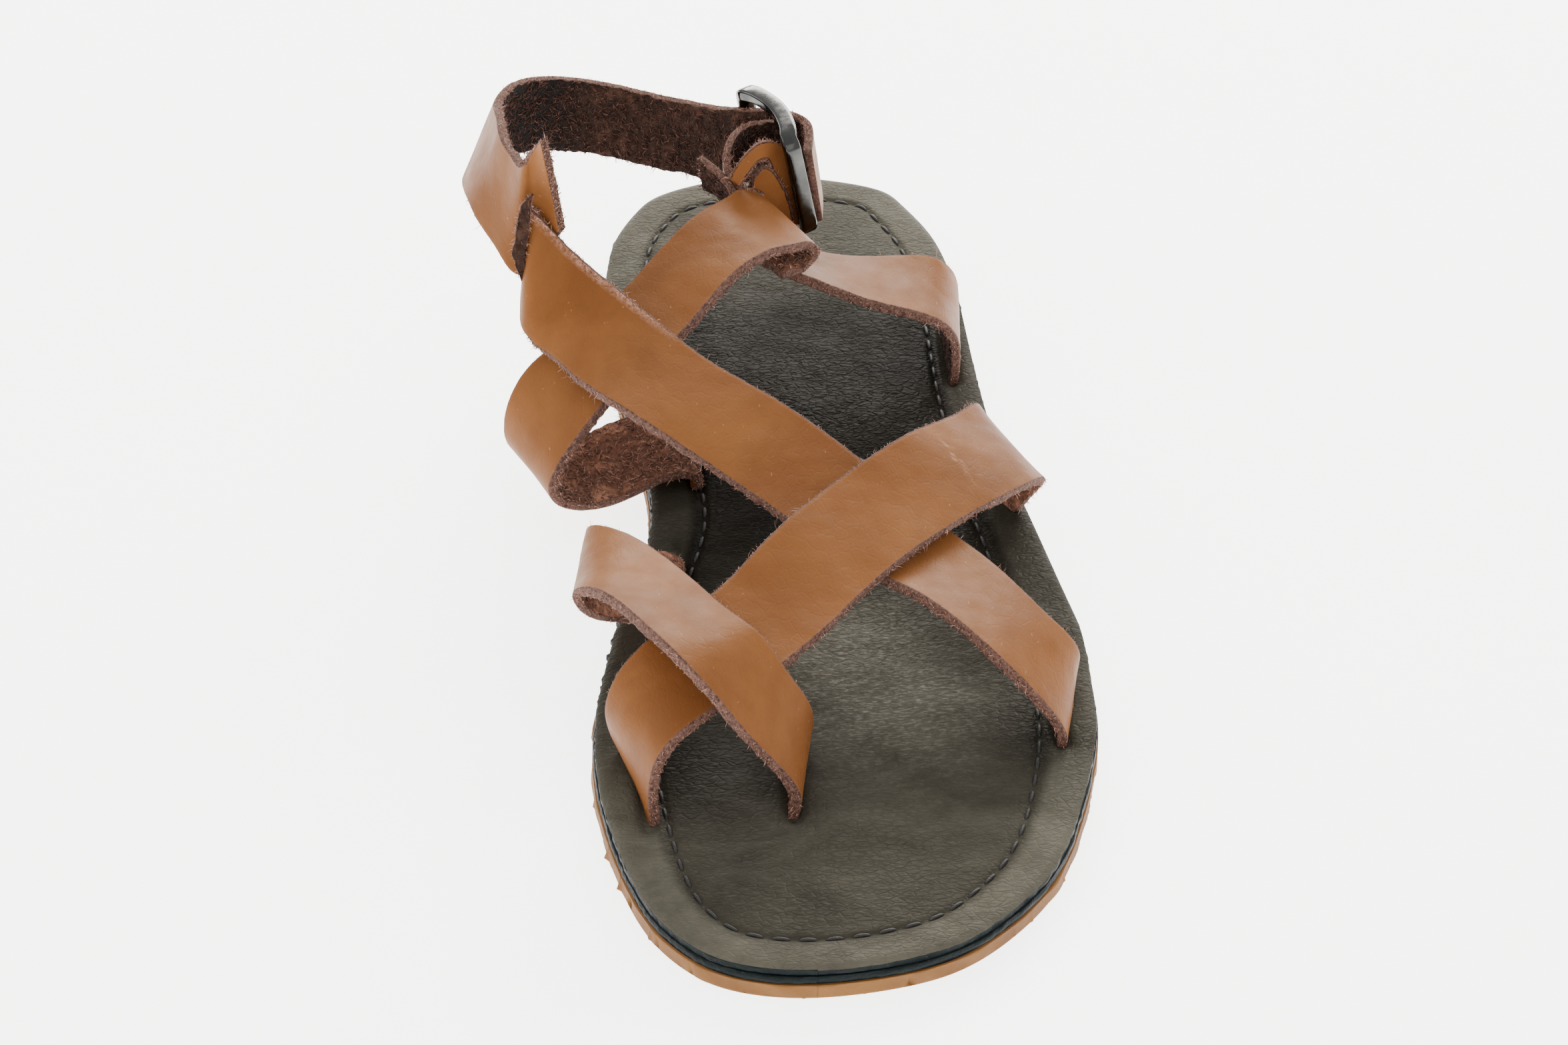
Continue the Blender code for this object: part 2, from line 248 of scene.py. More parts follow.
def fit(tree, value, low, high, toLow=0.0, toHigh=1.0):
    # low to high is carried to another range, and held inside it
    return addNode(tree, "ShaderNodeMapRange", {0: value, 1: low, 2: high, 3: toLow, 4: toHigh}).outputs[0]


def blend(tree, share, one, two):
    # from the first colour at share 0 to the second at share 1
    node = addNode(tree, "ShaderNodeMix", data_type="RGBA")
    for socket, value in ((0, share), (6, one), (7, two)):
        if isinstance(value, bpy.types.NodeSocket):
            tree.links.new(value, node.inputs[socket])
        else:
            node.inputs[socket].default_value = (*value, 1.0) if isinstance(value, tuple) else value
    return node.outputs[2]


def combine(tree, kind, one, two):
    # arithmetic on two values
    return addNode(tree, "ShaderNodeMath", {0: one, 1: two}, operation=kind).outputs[0]


def relief(tree, height, strength, depth, under=None):
    # bump from a height, laid over the normal under it
    sockets = {"Height": height, "Strength": strength, "Distance": depth}
    if under is not None:
        sockets["Normal"] = under
    return addNode(tree, "ShaderNodeBump", sockets).outputs["Normal"]


def mark(tree, label):
    # a value that the piece's mesh carries at each point
    return addNode(tree, "ShaderNodeAttribute", attribute_name=label).outputs["Fac"]


def wire(tree, shader, colour, rough=None, normal=None):
    # the finished colour, roughness and normal go to the shader
    for socket, value in (("Base Color", colour), ("Roughness", rough), ("Normal", normal)):
        if value is not None:
            tree.links.new(value, shader.inputs[socket])


grainLook = {
    "deep": (0.118, 0.0425, 0.0130), "warm": (0.170, 0.0655, 0.0205), "pale": (0.40, 0.24, 0.15),
    "torn": (0.42, 0.22, 0.16), "tint": (1, 0.74, 0.52, 1), "gloss": 0.065, "rough": 0.46,
    "roughFrom": 0.40, "roughTo": 0.54, "grainScale": 1500, "creaseScale": 420, "mottleScale": 34,
    "pores": 0.25, "dust": 0.22}


def grainLeather():
    # smooth finished side: warm mottling, fine pores, hair-fine creases, dust specks and a pale crease mark
    mat, tree, shader = newMaterial("tanGrain", grainLook["rough"], Specular_IOR_Level=grainLook["gloss"],
                                    Specular_Tint=grainLook["tint"])
    where = place(tree)
    mottle = noise(tree, where, grainLook["mottleScale"], 4, 0.6, 0.4)
    colour = blend(tree, fit(tree, mottle, 0.35, 0.68), grainLook["deep"], grainLook["warm"])
    pores = noise(tree, where, grainLook["grainScale"], 2, 0.5)
    colour = blend(tree, fit(tree, pores, 0.62, 0.8, 0.0, grainLook["pores"]), colour, grainLook["deep"])
    crease = combine(tree, "MULTIPLY", mark(tree, "crease"), fit(tree, noise(tree, where, 900, 2), 0.3, 0.6))
    colour = blend(tree, crease, colour, grainLook["pale"])
    broken = fit(tree, noise(tree, where, 1300, 4, 0.7, 0.8), 0.36, 0.56)
    torn = combine(tree, "MULTIPLY", mark(tree, "torn"), broken)
    colour = blend(tree, torn, colour, grainLook["torn"])
    dust = fit(tree, noise(tree, place(tree, (1, 0.4, 1)), 1500, 0, 0.5), 0.83, 0.88, 0, grainLook["dust"])
    colour = blend(tree, dust, colour, grainLook["pale"])
    rough = fit(tree, noise(tree, where, 140, 3), 0.3, 0.7, grainLook["roughFrom"], grainLook["roughTo"])
    creases = cells(tree, place(tree, (1, 0.6, 1)), grainLook["creaseScale"], "DISTANCE_TO_EDGE")
    normal = relief(tree, fit(tree, creases, 0.0, 0.09), 0.16, 0.00012)
    normal = relief(tree, pores, 0.34, 0.00012, normal)
    normal = relief(tree, noise(tree, where, 90, 2), 0.25, 0.0006, normal)
    wire(tree, shader, colour, rough, relief(tree, torn, 0.8, 0.0004, normal))
    return mat


# The last value lifts a copy of the split side: painted light where it lies open
fleshLook = {"dark": (0.012, 0.0045, 0.0022), "red": (0.034, 0.0140, 0.0078), "light": (0.15, 0.07, 0.043),
             "stain": (0.0042, 0.0026, 0.0018), "paintedLightLift": 6.0}   # times as light where it lies open


def fleshLeather(name="tanFlesh", lift=1.0):
    # split side: matted fibres in red-brown, with dark hollows and a stain
    mat, tree, shader = newMaterial(name, 0.95, Specular_IOR_Level=0.08,
                                    Sheen_Weight=0.05, Sheen_Roughness=0.6)
    where = place(tree)
    # a lift above 1 makes every tone lighter: painted light
    dark, red, light = (tuple(lift * v for v in fleshLook[key]) for key in ("dark", "red", "light"))
    matted = noise(tree, where, 800, 5, 0.75, 1.2)
    clump = noise(tree, where, 190, 3, 0.6)
    colour = blend(tree, fit(tree, matted, 0.38, 0.62), dark, red)
    colour = blend(tree, fit(tree, clump, 0.5, 0.7, 0, 0.35), colour, light)
    patchy = fit(tree, noise(tree, where, 120, 4, 0.7), 0.3, 0.55, 0.55, 1.0)
    colour = blend(tree, combine(tree, "MULTIPLY", mark(tree, "stain"), patchy), colour, fleshLook["stain"])
    wire(tree, shader, colour, normal=relief(tree, clump, 0.6, 0.001, relief(tree, matted, 0.9, 0.0006)))
    return mat


cutLook = {"core": (0.027, 0.0125, 0.0095), "broken": (0.155, 0.078, 0.057)}


def cutEdge():
    # knife-cut edge: dark brown core with pinkish broken fibres
    mat, tree, shader = newMaterial("tanCutEdge", 0.85, Specular_IOR_Level=0.2)
    fine = noise(tree, place(tree), 1500, 4, 0.7, 0.6)
    colour = blend(tree, fit(tree, fine, 0.35, 0.68), cutLook["core"], cutLook["broken"])
    wire(tree, shader, colour, normal=relief(tree, fine, 0.8, 0.0004))
    return mat


# Each kind of fibre runs from a dark to a light tone; the third is a lighter copy of the nap, painted light
# where the split side lies open
fibreTones = {"looseFibre": ((0.10, 0.042, 0.030), (0.50, 0.28, 0.21)),
              "napFibre": ((0.022, 0.008, 0.0055), (0.14, 0.062, 0.044)),
              "paintedLitFibre": ((0.070, 0.030, 0.021), (0.44, 0.25, 0.19))}


def fibreLook(name):
    # one shade for each fibre, from its own random value
    mat, tree, shader = newMaterial(name, 0.8, Specular_IOR_Level=0.2)
    wire(tree, shader, blend(tree, mark(tree, "shade"), *fibreTones[name]))
    return mat


tanGrain, tanFlesh, tanCut = grainLeather(), fleshLeather(), cutEdge()
# the split side's lighter copy: painted light where it lies open
paintedLitFlesh = fleshLeather("tanFleshPaintedLit", fleshLook["paintedLightLift"])
looseFibre, napFibre, paintedLitFibre = (fibreLook(name) for name in fibreTones)
print("leather materials made")


# Columns: x, y, z of the strap's middle in mm, then where its width points: yaw in plan from +X toward the
# heel, and tip above the floor plane, in degrees. A sixth column is the strap's own width.
toeStrapRows = (
    (-15, -88, 4.5, 84, 0, 23), (-12.8, -88.2, 12, 80, 0, 23), (-15.2, -89.2, 20.5, 70, 2, 22),
    (-20.6, -88.2, 28.4, 62, 2, 21.5), (-27, -83.6, 35.8, 56, -2, 22), (-34, -77.5, 40, 50, -12, 22.5),
    (-44, -61.5, 39.5, 52, -14, 23.5), (-51.5, -50.5, 37.5, 68, -8, 25), (-56.5, -42.8, 32.3, 80, -3, 26),
    (-53.5, -40, 25.5, 83, 0, 26), (-46, -34, 18.5, 86, 0, 25), (-39, -28.5, 13, 89, 0, 24),
    (-35, -25, 9, 90, 0, 23), (-34, -24, 4.5, 90, 0, 23))
frontStrapRows = (
    (-46, -88.5, 4.5, 99.5, -0.5), (-48, -87, 20.5, 113.5, -6), (-38, -80, 30, 126, 6),
    (-21, -66, 32.5, 133, 9.5), (-7.5, -50.5, 35, 137, 16), (6, -36, 36, 139, 16.5),
    (22, -20.5, 35.5, 138, 22.5), (35, -6.5, 31, 131, 17), (40.5, 5.5, 23.5, 123.5, 16.5),
    (39, 11, 14, 114.5, 8.5), (38, 14, 10, 97.5, 0), (35, 16, 4.5, 88.5, -0.5))
instepStrapRows = (
    (44.5, -66.5, 4.5, 80, 8, 24), (45.5, -69, 14, 74, 3, 24), (35.5, -63, 24.2, 54, -12, 24),
    (23, -48.5, 28.2, 43, -10, 24), (10.5, -36, 29.5, 43, 0, 24), (-2.5, -21, 32, 41, 9, 24),
    (-20, -3.5, 36, 44, 12, 24), (-35.5, 8.5, 40.2, 47, 8, 24), (-48.5, 21.5, 43.7, 54, 21, 24),
    (-56, 31, 45.5, 62, 36, 23.4), (-62, 36.2, 48.6, 71, 50, 26), (-65.6, 40.2, 52.5, 80, 62, 28),
    (-64.5, 49, 47.5, 83, 42, 25), (-57, 54.5, 30, 88, 22, 24), (-45, 54, 18, 90, 5, 24),
    (-38.5, 55, 11, 90, 0, 24), (-36, 55, 5, 90, 0, 24))
ankleStrapRows = (
    (-13.5, 59, 42.4, 124, 3), (-10.5, 61, 42.2, 124, 5), (-8.2, 63, 42.4, 124, 7), (-5.5, 65, 45, 124, 8),
    (-7.8, 62.8, 48.3, 125, 7.5), (-12, 59, 49.3, 127.5, 2.5), (-18.5, 54.5, 49.5, 129, -4),
    (-28, 46.5, 46, 128, -9.5),
    (-39, 35.5, 40, 129, -8.5), (-50.5, 25.5, 36.5, 129.5, -6.5), (-61, 17, 30.5, 128, -1),
    (-66, 11.8, 17.5, 112, -4), (-56, 15, 11.5, 108, 0), (-44, 22, 11.5, 102, 0), (-34, 26.5, 11, 94, 0),
    (-29.5, 28, 8, 90, 0), (-29, 28, 4.5, 90, 0))
ankleRiserRows = (
    (34, 65, 4.7, 90, 0), (35, 64, 18, 85, 3), (28, 61, 28, 88, 2), (14, 61, 31, 92, -8),
    (1, 63, 34, 96, -14), (-9, 66, 37.5, 104, -8), (-15, 69, 40.5, 112, -2))
heelStrapRows = (
    (-59.6, 45, 71.2, 335, -80, 24), (-61.8, 46.9, 67.2, 318, -84, 26.5), (-64.6, 47.3, 62.8, 280, -85, 29),
    (-66.6, 47, 61, 236, -83, 28.5), (-68.4, 49.2, 61, 228, -77, 24.5), (-70.6, 54.5, 62, 228, -71, 22),
    (-73.1, 61, 62.8, 224, -66, 20.8), (-74.3, 68, 63, 218, -61, 20), (-75, 78, 60.5, 196, -65, 20),
    (-73, 88.5, 57.5, 182, -74, 20), (-64, 101, 54, 180, -85, 20), (-48, 107, 49, 180, -90, 20),
    (-36, 107, 45.5, 180, -90, 20), (-27, 104.5, 44.5, 180, -90, 20), (-19.5, 100, 45.5, 180, -90, 20),
    (-13, 95.5, 47.5, 180, -90, 20), (-7, 93.5, 48.3, 180, -92, 20), (-1.4, 91.7, 48.5, 180, -95, 20),
    (2.3, 87.5, 48.5, 180, -98, 20), (2.4, 81, 48.5, 180, -98, 20), (1.7, 75.5, 48.5, 180, -98, 20))
buckleTailRows = (
    (-24, 78, 51.5, 55, -76, 10), (-20.5, 76, 50, 52, -72, 10), (-16, 72.4, 47, 48, -62, 11),
    (-11.5, 68.4, 45, 42, -30, 7), (-7.5, 64.8, 44.7, 36, -5, 6),
    (-4.5, 62, 44.6, 36, 0, 6))
buckleKeeperRows = (
    (0.5, 77.5, 37.5, 2.5, 11.5, 7), (-1, 78, 43.5, 4, 13.5, 7.5), (-2.5, 78, 49.5, 11.5, 23.5, 7.5),
    (-6, 78, 55, 27, 39, 6), (-9.5, 76, 58.5, 84, 57, 4.5), (-12.5, 74, 58, 143, 39, 3.5),
    (-15, 72, 56, 155, 28, 3.5), (-17, 70.5, 53.5, 156.5, 26.5, 3))
buckleTongueRows = (
    (-11.5, 73.5, 54.5, -155, -37, 4), (-10.5, 74.5, 52.5, -163, -29, 6), (-9, 75, 48, -168, -23.5, 8),
    (-7.5, 75.5, 43, -171.5, -19, 8.5), (-6.5, 75.5, 38, -174.5, -14.5, 8.5))
buckleLoopRows = (
    (-6.5, 90, 52, 180, -90, 11), (-9.5, 89.5, 52, 180, -90, 11.5), (-13.5, 87.5, 52, 180, -90, 12),
    (-16.8, 83, 51.7, 180, -90, 12), (-18.2, 77.5, 50.2, 180, -92, 11.5), (-17, 73.3, 48, 180, -94, 11),
    (-13.5, 71.2, 46, 180, -94, 10), (-10, 72.5, 45, 180, -94, 9))
# the worn-open edge of the slit that the instep strap comes out of
heelSlitRows = (
    (-64.5, 43.5, 69.5, 161.5, 23.5, 0.5), (-66, 43, 66, 168.5, 15, 2.5), (-67, 42, 60, 174.5, 6.5, 3),
    (-67.5, 41, 55, 179.5, -0.5, 2.5), (-67, 40.5, 49, 181.5, -3.5, 1))

# The CAD node and slot that each group of straps stands for
strapGroups = {"upper": {"node": "upper_straps", "slot": "strap_leather"},
               "heel": {"node": "heel_strap", "slot": "heel_strap_leather"},
               "buckle": {"node": "buckle_strap", "slot": "buckle_strap_leather"}}
# rows, width in mm, grain (the side of the band with the finished face), nap and fringe (fibres per square mm
# of the flesh side and per mm of edge), seed and group
strapKeys = ("rows", "width", "grain", "nap", "fringe", "seed")
straps = {
    "toeStrap": (toeStrapRows, 24, -1, 0.5, 4, 11, "upper"),
    "frontStrap": (frontStrapRows, 24, 1, 0.5, 4, 12, "upper"),
    "instepStrap": (instepStrapRows, 24, -1, 0.5, 4, 13, "upper"),
    "ankleStrap": (ankleStrapRows, 24, -1, 1.8, 5, 14, "upper"),
    "ankleRiser": (ankleRiserRows, 24, -1, 0.5, 4, 15, "upper"),
    "heelStrap": (heelStrapRows, 20, 1, 1.8, 6, 16, "heel"),
    "buckleTail": (buckleTailRows, 9, 1, 1.8, 6, 17, "buckle"),
    "buckleKeeper": (buckleKeeperRows, 10, -1, 1.8, 4, 18, "buckle"),
    "buckleTongue": (buckleTongueRows, 4, -1, 0.5, 4, 20, "buckle"),
    "buckleLoop": (buckleLoopRows, 12, -1, 2.0, 9, 19, "buckle"),
    "heelSlit": (heelSlitRows, 2, 1, 0.5, 5, 21, "heel"),
}
bandLook = {"thick": 2.2, "buckleShare": 0.91, "step": 0.8, "turn": 3.5, "faceCols": 19, "edgeCols": 6,
            "shoulder": 0.5}


def bandRun(rows, step, turn):
    # points along a band, one for each step of length or turn of direction, whichever adds up,
    # with the run, width and thickness directions and the run's length at each
    rows = np.array(rows, float)
    fine = smoothRows(rows, 2400)   # far finer than the steps
    ahead = np.gradient(fine[:, :3], axis=0)
    pace = np.linalg.norm(ahead, axis=1)
    ahead /= pace[:, None]
    swing = np.degrees(np.linalg.norm(np.gradient(ahead, axis=0), axis=1))
    tally = np.concatenate([[0], np.cumsum((pace / step + swing / turn)[1:])])
    length = np.concatenate([[0], np.cumsum(pace[1:])])
    at = np.linspace(0, tally[-1], int(tally[-1]) + 2)
    track = np.stack([np.interp(at, tally, fine[:, k]) for k in range(fine.shape[1])], 1)
    along = unit(np.stack([np.interp(at, tally, ahead[:, k]) for k in range(3)], 1))
    yaw, tip = np.radians(track[:, 3]), np.radians(track[:, 4])
    wide = np.stack([np.cos(tip) * np.cos(yaw), np.cos(tip) * np.sin(yaw), np.sin(tip)], 1)
    if rows.shape[1] < 6:   # a band with its own widths keeps its fold lines as the table gives them
        wide = unit(wide - (wide * along).sum(1)[:, None] * along)
    return track[:, :3], along, wide, unit(np.cross(along, wide)), np.interp(at, tally, length), track[:, 5:]


def bandSection(look):
    # the section as shares: across (-1 to 1), inset at the rounded edges, height (-1 flesh to 1 grain), and
    # which face it is on (0 grain, 1 cut edge, 2 flesh)
    s = np.linspace(-1, 1, look["faceCols"])
    arc = np.radians(np.linspace(90, 0, 5))[1:]
    shoulder, low = 0.45, -0.92   # heights where the rounding ends and where the flesh side's corner begins
    drop = np.linspace(shoulder, low, look["edgeCols"])
    edgeA = np.concatenate([-(1 - np.cos(arc)), np.zeros(len(drop) - 1), [-0.25]])
    edgeB = np.concatenate([shoulder + 0.55 * np.sin(arc), drop[1:], [-1.0]])
    across = np.concatenate([s, np.full(len(edgeA), 1.0), s[::-1][1:-1], np.full(len(edgeA), -1.0)])
    inset = np.concatenate([-np.abs(s) ** 40, edgeA, np.zeros(len(s) - 2), -edgeA[::-1]])
    inset[0], inset[len(s) - 1] = 1.0, -1.0
    height = np.concatenate([np.ones(len(s)), edgeB, np.full(len(s) - 2, -1.0), edgeB[::-1]])
    kind = np.repeat([0, 1, 2, 1], [len(s) - 1, len(edgeA), len(s) - 1, len(edgeA)])
    return across, inset, height, kind


# In mm: nicks and waves of the cut edges, then height and size of the lumps of each face
edgeLook = {"nick": 0.13, "nickStep": 0.9, "wave": 0.12, "waveSize": 9, "even": 0.25}
faceLook = {"flesh": (0.16, 2.4), "broad": (0.07, 17), "fine": (0.025, 5)}


def bandRings(spec, mid, wide, up, run, half, thick):
    # rings of the section along the band, with each point's place across in mm
    across, inset, height, kind = bandSection(bandLook)
    seed, side = spec["seed"], np.sign(across)[None, :]
    # raggedness is strongest low on the cut edge, where the flesh side tears
    low = np.clip((0.9 - height) / 1.9, 0, 1) * (np.abs(across) > 0.999)
    nicks = [jagged(run, edgeLook["nickStep"], s)[:, None] for s in (seed, seed + 50)]
    rag = np.where(across[None, :] > 0, *nicks) * edgeLook["nick"]
    wave = lumps(np.stack([run, run * 0], 1), edgeLook["waveSize"], seed)[:, None] * edgeLook["wave"]
    rag = rag + wave * side
    a = across[None, :] * half[:, None] + inset[None, :] * bandLook["shoulder"] \
        + rag * (edgeLook["even"] + low)[None, :] * side
    b = height[None, :] * thick * np.ones((len(mid), 1))
    spots = np.stack([np.broadcast_to(run[:, None], a.shape), a], -1)
    flesh, broad, fine = (high * lumps(spots, size, seed + 1 + k)
                          for k, (high, size) in enumerate(faceLook.values()))
    b = np.where(height[None, :] < -0.95, b + flesh, b)
    b = np.where(height[None, :] > 0.95, b + broad + fine, b)
    return mid[:, None] + wide[:, None] * a[..., None] + up[:, None] * b[..., None], a, kind


# Places are lengths along the strap in mm
tornLook = {"edge": 0.3, "strength": 0.8, "from": 134.0, "rise": 14, "to": 180.0, "wide": 1.5}
stainLook = {"from": 40, "rise": 7, "to": 92, "fall": 11}
creaseLook = {"run": 124.5, "slant": 0.2, "wide": 0.32, "middle": 1.0, "reach": 6.5, "strength": 0.45,
              "wander": 0.5}


def bandMarks(name, run, a, half):
    # crease mark, dark stain and torn fibres, each 0 to 1, by place along and across the strap
    crease, stain = np.zeros_like(a), np.zeros_like(a)
    if name == "frontStrap":   # a thin line that wanders, fading at both its ends
        wander = creaseLook["wander"] * lumps(a[..., None], 4, 8)
        line = creaseLook["run"] + a * creaseLook["slant"] + wander
        crease = creaseLook["strength"] * np.exp(-((run[:, None] - line) / creaseLook["wide"]) ** 2
                                                 - ((a - creaseLook["middle"]) / creaseLook["reach"]) ** 4)
    if name == "heelStrap":   # the inside is stained dark where it turns at the heel
        rise = np.clip((run - stainLook["from"]) / stainLook["rise"], 0, 1)
        stain += (rise * np.clip((stainLook["to"] - run) / stainLook["fall"], 0, 1))[:, None]
    # torn fibres along both edges, in a wider band where the instep strap nears the heel strap
    margin = np.maximum(half[:, None] - np.abs(a), 0)
    torn = np.exp(-(margin / tornLook["edge"]) ** 2) * tornLook["strength"]
    if name == "instepStrap":
        reach = np.clip((run - tornLook["from"]) / tornLook["rise"], 0, 1) * (run < tornLook["to"])
        torn = np.maximum(torn, reach[:, None] * (a > 0) * np.exp(-(margin / tornLook["wide"]) ** 4))
    return {"crease": crease, "stain": stain, "torn": torn}


def scatter(rng, mid, count):
    # random places along a band: the ring before each, and the middle point there
    at = rng.uniform(0, len(mid) - 1.001, count)
    i = at.astype(int)
    f = (at - i)[:, None]
    return i, mid[i] * (1 - f) + mid[i + 1] * f


# Lengths and thicknesses of the fibres in mm
fringeLook = {"inset": 0.12, "shortest": 0.45, "spread": 0.45, "longest": 3.2, "thin": 0.045, "thick": 0.09,
              "endFibres": 30}   # for each mm of the half width
napLook = {"inset": 0.2, "short": 0.8, "long": 2.3, "thin": 0.07, "thick": 0.15, "sink": 0.02}


def makeFringe(name, spec, rng, mid, along, wide, up, run, half, thick):
    # fibres on both cut edges, leaning out and along
    count = int(run[-1] * spec["fringe"] * 2)
    i, p = scatter(rng, mid, count)
    sign = rng.choice([-1.0, 1.0], count)
    deep = rng.beta(1.2, 1.6, count) * 2 - 1
    p = p + wide[i] * (sign * (half[i] - fringeLook["inset"]))[:, None] \
        + up[i] * (deep * thick * 0.9)[:, None]
    swing = rng.normal(0, 1.0, (count, 3))
    first = unit(wide[i] * sign[:, None] * 1.1 + along[i] * swing[:, :1]
                 + up[i] * (swing[:, 1:2] * 0.7 - 0.1))
    second = unit(first + along[i] * rng.normal(0, 1, (count, 1)) + up[i] * rng.normal(0, 0.6, (count, 1)))
    length = rng.exponential(fringeLook["spread"], count) + fringeLook["shortest"]
    if name in ("heelStrap", "buckleTail"):   # the free end is torn too
        tip = rng.choice(count, int(half[0] * fringeLook["endFibres"]))
        p[tip] = mid[0] + wide[0] * (rng.uniform(-1, 1, (len(tip), 1)) * half[0]) \
            + up[0] * rng.uniform(-1, 1, (len(tip), 1)) * thick
        first[tip] = unit(-along[0] + rng.normal(0, 0.6, (len(tip), 3)))
        second[tip] = unit(first[tip] + rng.normal(0, 0.6, (len(tip), 3)))
    width = rng.uniform(fringeLook["thin"], fringeLook["thick"], count)
    fringe = fibres(name + "Fringe", p, first, second, np.minimum(length, fringeLook["longest"]), width,
                    rng.beta(1.4, 1.2, count))
    fringe.data.materials.append(looseFibre)


def makeNap(name, spec, rng, mid, along, wide, up, run, half, thick, look):
    # short fibres lying every way on the flesh side
    count = int(run[-1] * spec["width"] * spec["nap"])
    i, p = scatter(rng, mid, count)
    p = p + wide[i] * (rng.uniform(-1, 1, count) * (half[i] - napLook["inset"]))[:, None] \
        - up[i] * (thick - napLook["sink"])
    turn = rng.uniform(0, 2 * np.pi, count)[:, None]
    flat = along[i] * np.cos(turn) + wide[i] * np.sin(turn)
    first = unit(flat - up[i] * rng.uniform(0.25, 0.8, (count, 1)))
    second = unit(flat * 0.8 + along[i] * rng.normal(0, 0.8, (count, 1))
                  + wide[i] * rng.normal(0, 0.8, (count, 1)) + up[i] * 0.15)
    length = rng.uniform(napLook["short"], napLook["long"], count) * spec["nap"] ** 0.3
    width = rng.uniform(napLook["thin"], napLook["thick"], count)
    nap = fibres(name + "Nap", p, first, second, length, width, rng.beta(1.3, 1.8, count))
    nap.data.materials.append(look)


def makeStrap(name, spec):
    # a band from its table, with marks, materials, a fringe and a nap
    rng = np.random.default_rng(spec["seed"])
    mid, along, wide, up, run, own = bandRun(spec["rows"], bandLook["step"], bandLook["turn"])
    up = up * spec["grain"]
    thick = bandLook["thick"] / 2 * (bandLook["buckleShare"] if spec["node"] == "buckle_strap" else 1.0)
    half = (own[:, 0] if own.size else np.full(len(mid), spec["width"])) / 2
    rings, a, kind = bandRings(spec, mid, wide, up, run, half, thick)
    piece = skin(name, rings, kinds=kind, marks=bandMarks(name, run, a, half))
    # the toe, front and ankle straps take the painted-light copies of the split side and its nap
    inside = paintedLitFlesh if name in ("ankleStrap", "toeStrap", "frontStrap") else tanFlesh
    for look in (tanCut, tanCut, tanFlesh) if name == "heelSlit" else (tanGrain, tanCut, inside):
        piece.data.materials.append(look)
    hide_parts(spec["node"])
    band = (mid, along, wide, up, run, half, thick)
    makeFringe(name, spec, rng, *band)
    makeNap(name, spec, rng, *band, paintedLitFibre if inside is paintedLitFlesh else napFibre)


for strapName, strapRow in straps.items():
    makeStrap(strapName, {**dict(zip(strapKeys, strapRow)), **strapGroups[strapRow[-1]]})
print("straps made:", len(straps))


# Columns: distance from the heel end, inner edge x, outer edge x, in mm
soleRows = (
    (5.5, -28, 20.5), (14, -37, 29), (28, -43.5, 35), (43, -45.8, 38), (57, -46, 39.2),
    (85, -45, 40), (114, -41, 42), (143, -40.5, 46.5), (171, -48, 51), (185, -51.5, 53),
    (200, -54.5, 53), (214, -56, 52.5), (229, -56, 49.5), (244, -54, 45), (259.5, -50.5, 38.5),
    (272, -45.5, 29), (281, -38.5, 18.5), (286.5, -29.5, 5.5))
# Columns: distance from the heel end, then how far the stitches lie inside the inner and the outer edge
stitchRows = ((0, 9.5, 9.5), (40, 9.5, 9.5), (80, 10.5, 10), (110, 11.5, 11), (140, 12.5, 13), (165, 11, 14),
              (200, 12.5, 14), (225, 13.5, 12), (250, 12, 10.5), (285, 9, 9))
soleLook = {"heelY": 142.5, "toeY": -146.5, "heelTipX": -5.0, "toeTipX": -14.0, "outsole": (0.0, 3.45),
            "midsole": (3.6, 5.6), "footbed": (5.68, 8.0), "rows": 520, "columns": 150, "under": 26,
            "middleX": -4.0, "middleY": (-95, 100)}


def soleOutline(count):
    # smooth closed outline through the table, by even steps of length: inner side, toe, outer side, heel
    heel = soleLook["heelY"]
    inner = [(row[1], heel - row[0]) for row in soleRows]
    outer = [(row[2], heel - row[0]) for row in soleRows]
    toe = [(soleLook["toeTipX"], soleLook["toeY"])]
    loop = np.array([(soleLook["heelTipX"], heel)] + inner + toe + outer[::-1], float)
    lap, per = 6, 60   # rows repeated past the start, and points from row to row
    wrap = np.concatenate([loop[-lap:], loop, loop[:lap + 1]])
    fine = smoothRows(wrap, (len(wrap) - 1) * per + 1)[lap * per:(lap + len(loop)) * per]
    fine = loopClosed(fine)
    run = runOf(fine)
    at = np.linspace(0, run[-1], count + 1)[:-1]
    return np.stack([np.interp(at, run, fine[:, 0]), np.interp(at, run, fine[:, 1])], 1), run[-1]


outlineFine, soleRound = soleOutline(3000)


def soleSides(grow):
    # inner and outer edge x at rows of y that crowd toward both tips, for the outline moved out by grow
    loop = outlineFine + outward(outlineFine) * grow
    low, high = loop[:, 1].argmin(), loop[:, 1].argmax()
    one = np.roll(loop, -high, axis=0)[:(low - high) % len(loop) + 1]
    two = np.roll(loop, -low, axis=0)[:(high - low) % len(loop) + 1]
    if one[:, 0].mean() > two[:, 0].mean():
        one, two = two, one
    y = np.linspace(0, np.pi, soleLook["rows"])
    y = (loop[low, 1] + loop[high, 1]) / 2 - np.cos(y) * (loop[high, 1] - loop[low, 1]) / 2
    order1, order2 = one[:, 1].argsort(), two[:, 1].argsort()
    return y, np.interp(y, one[order1, 1], one[order1, 0]), np.interp(y, two[order2, 1], two[order2, 0])


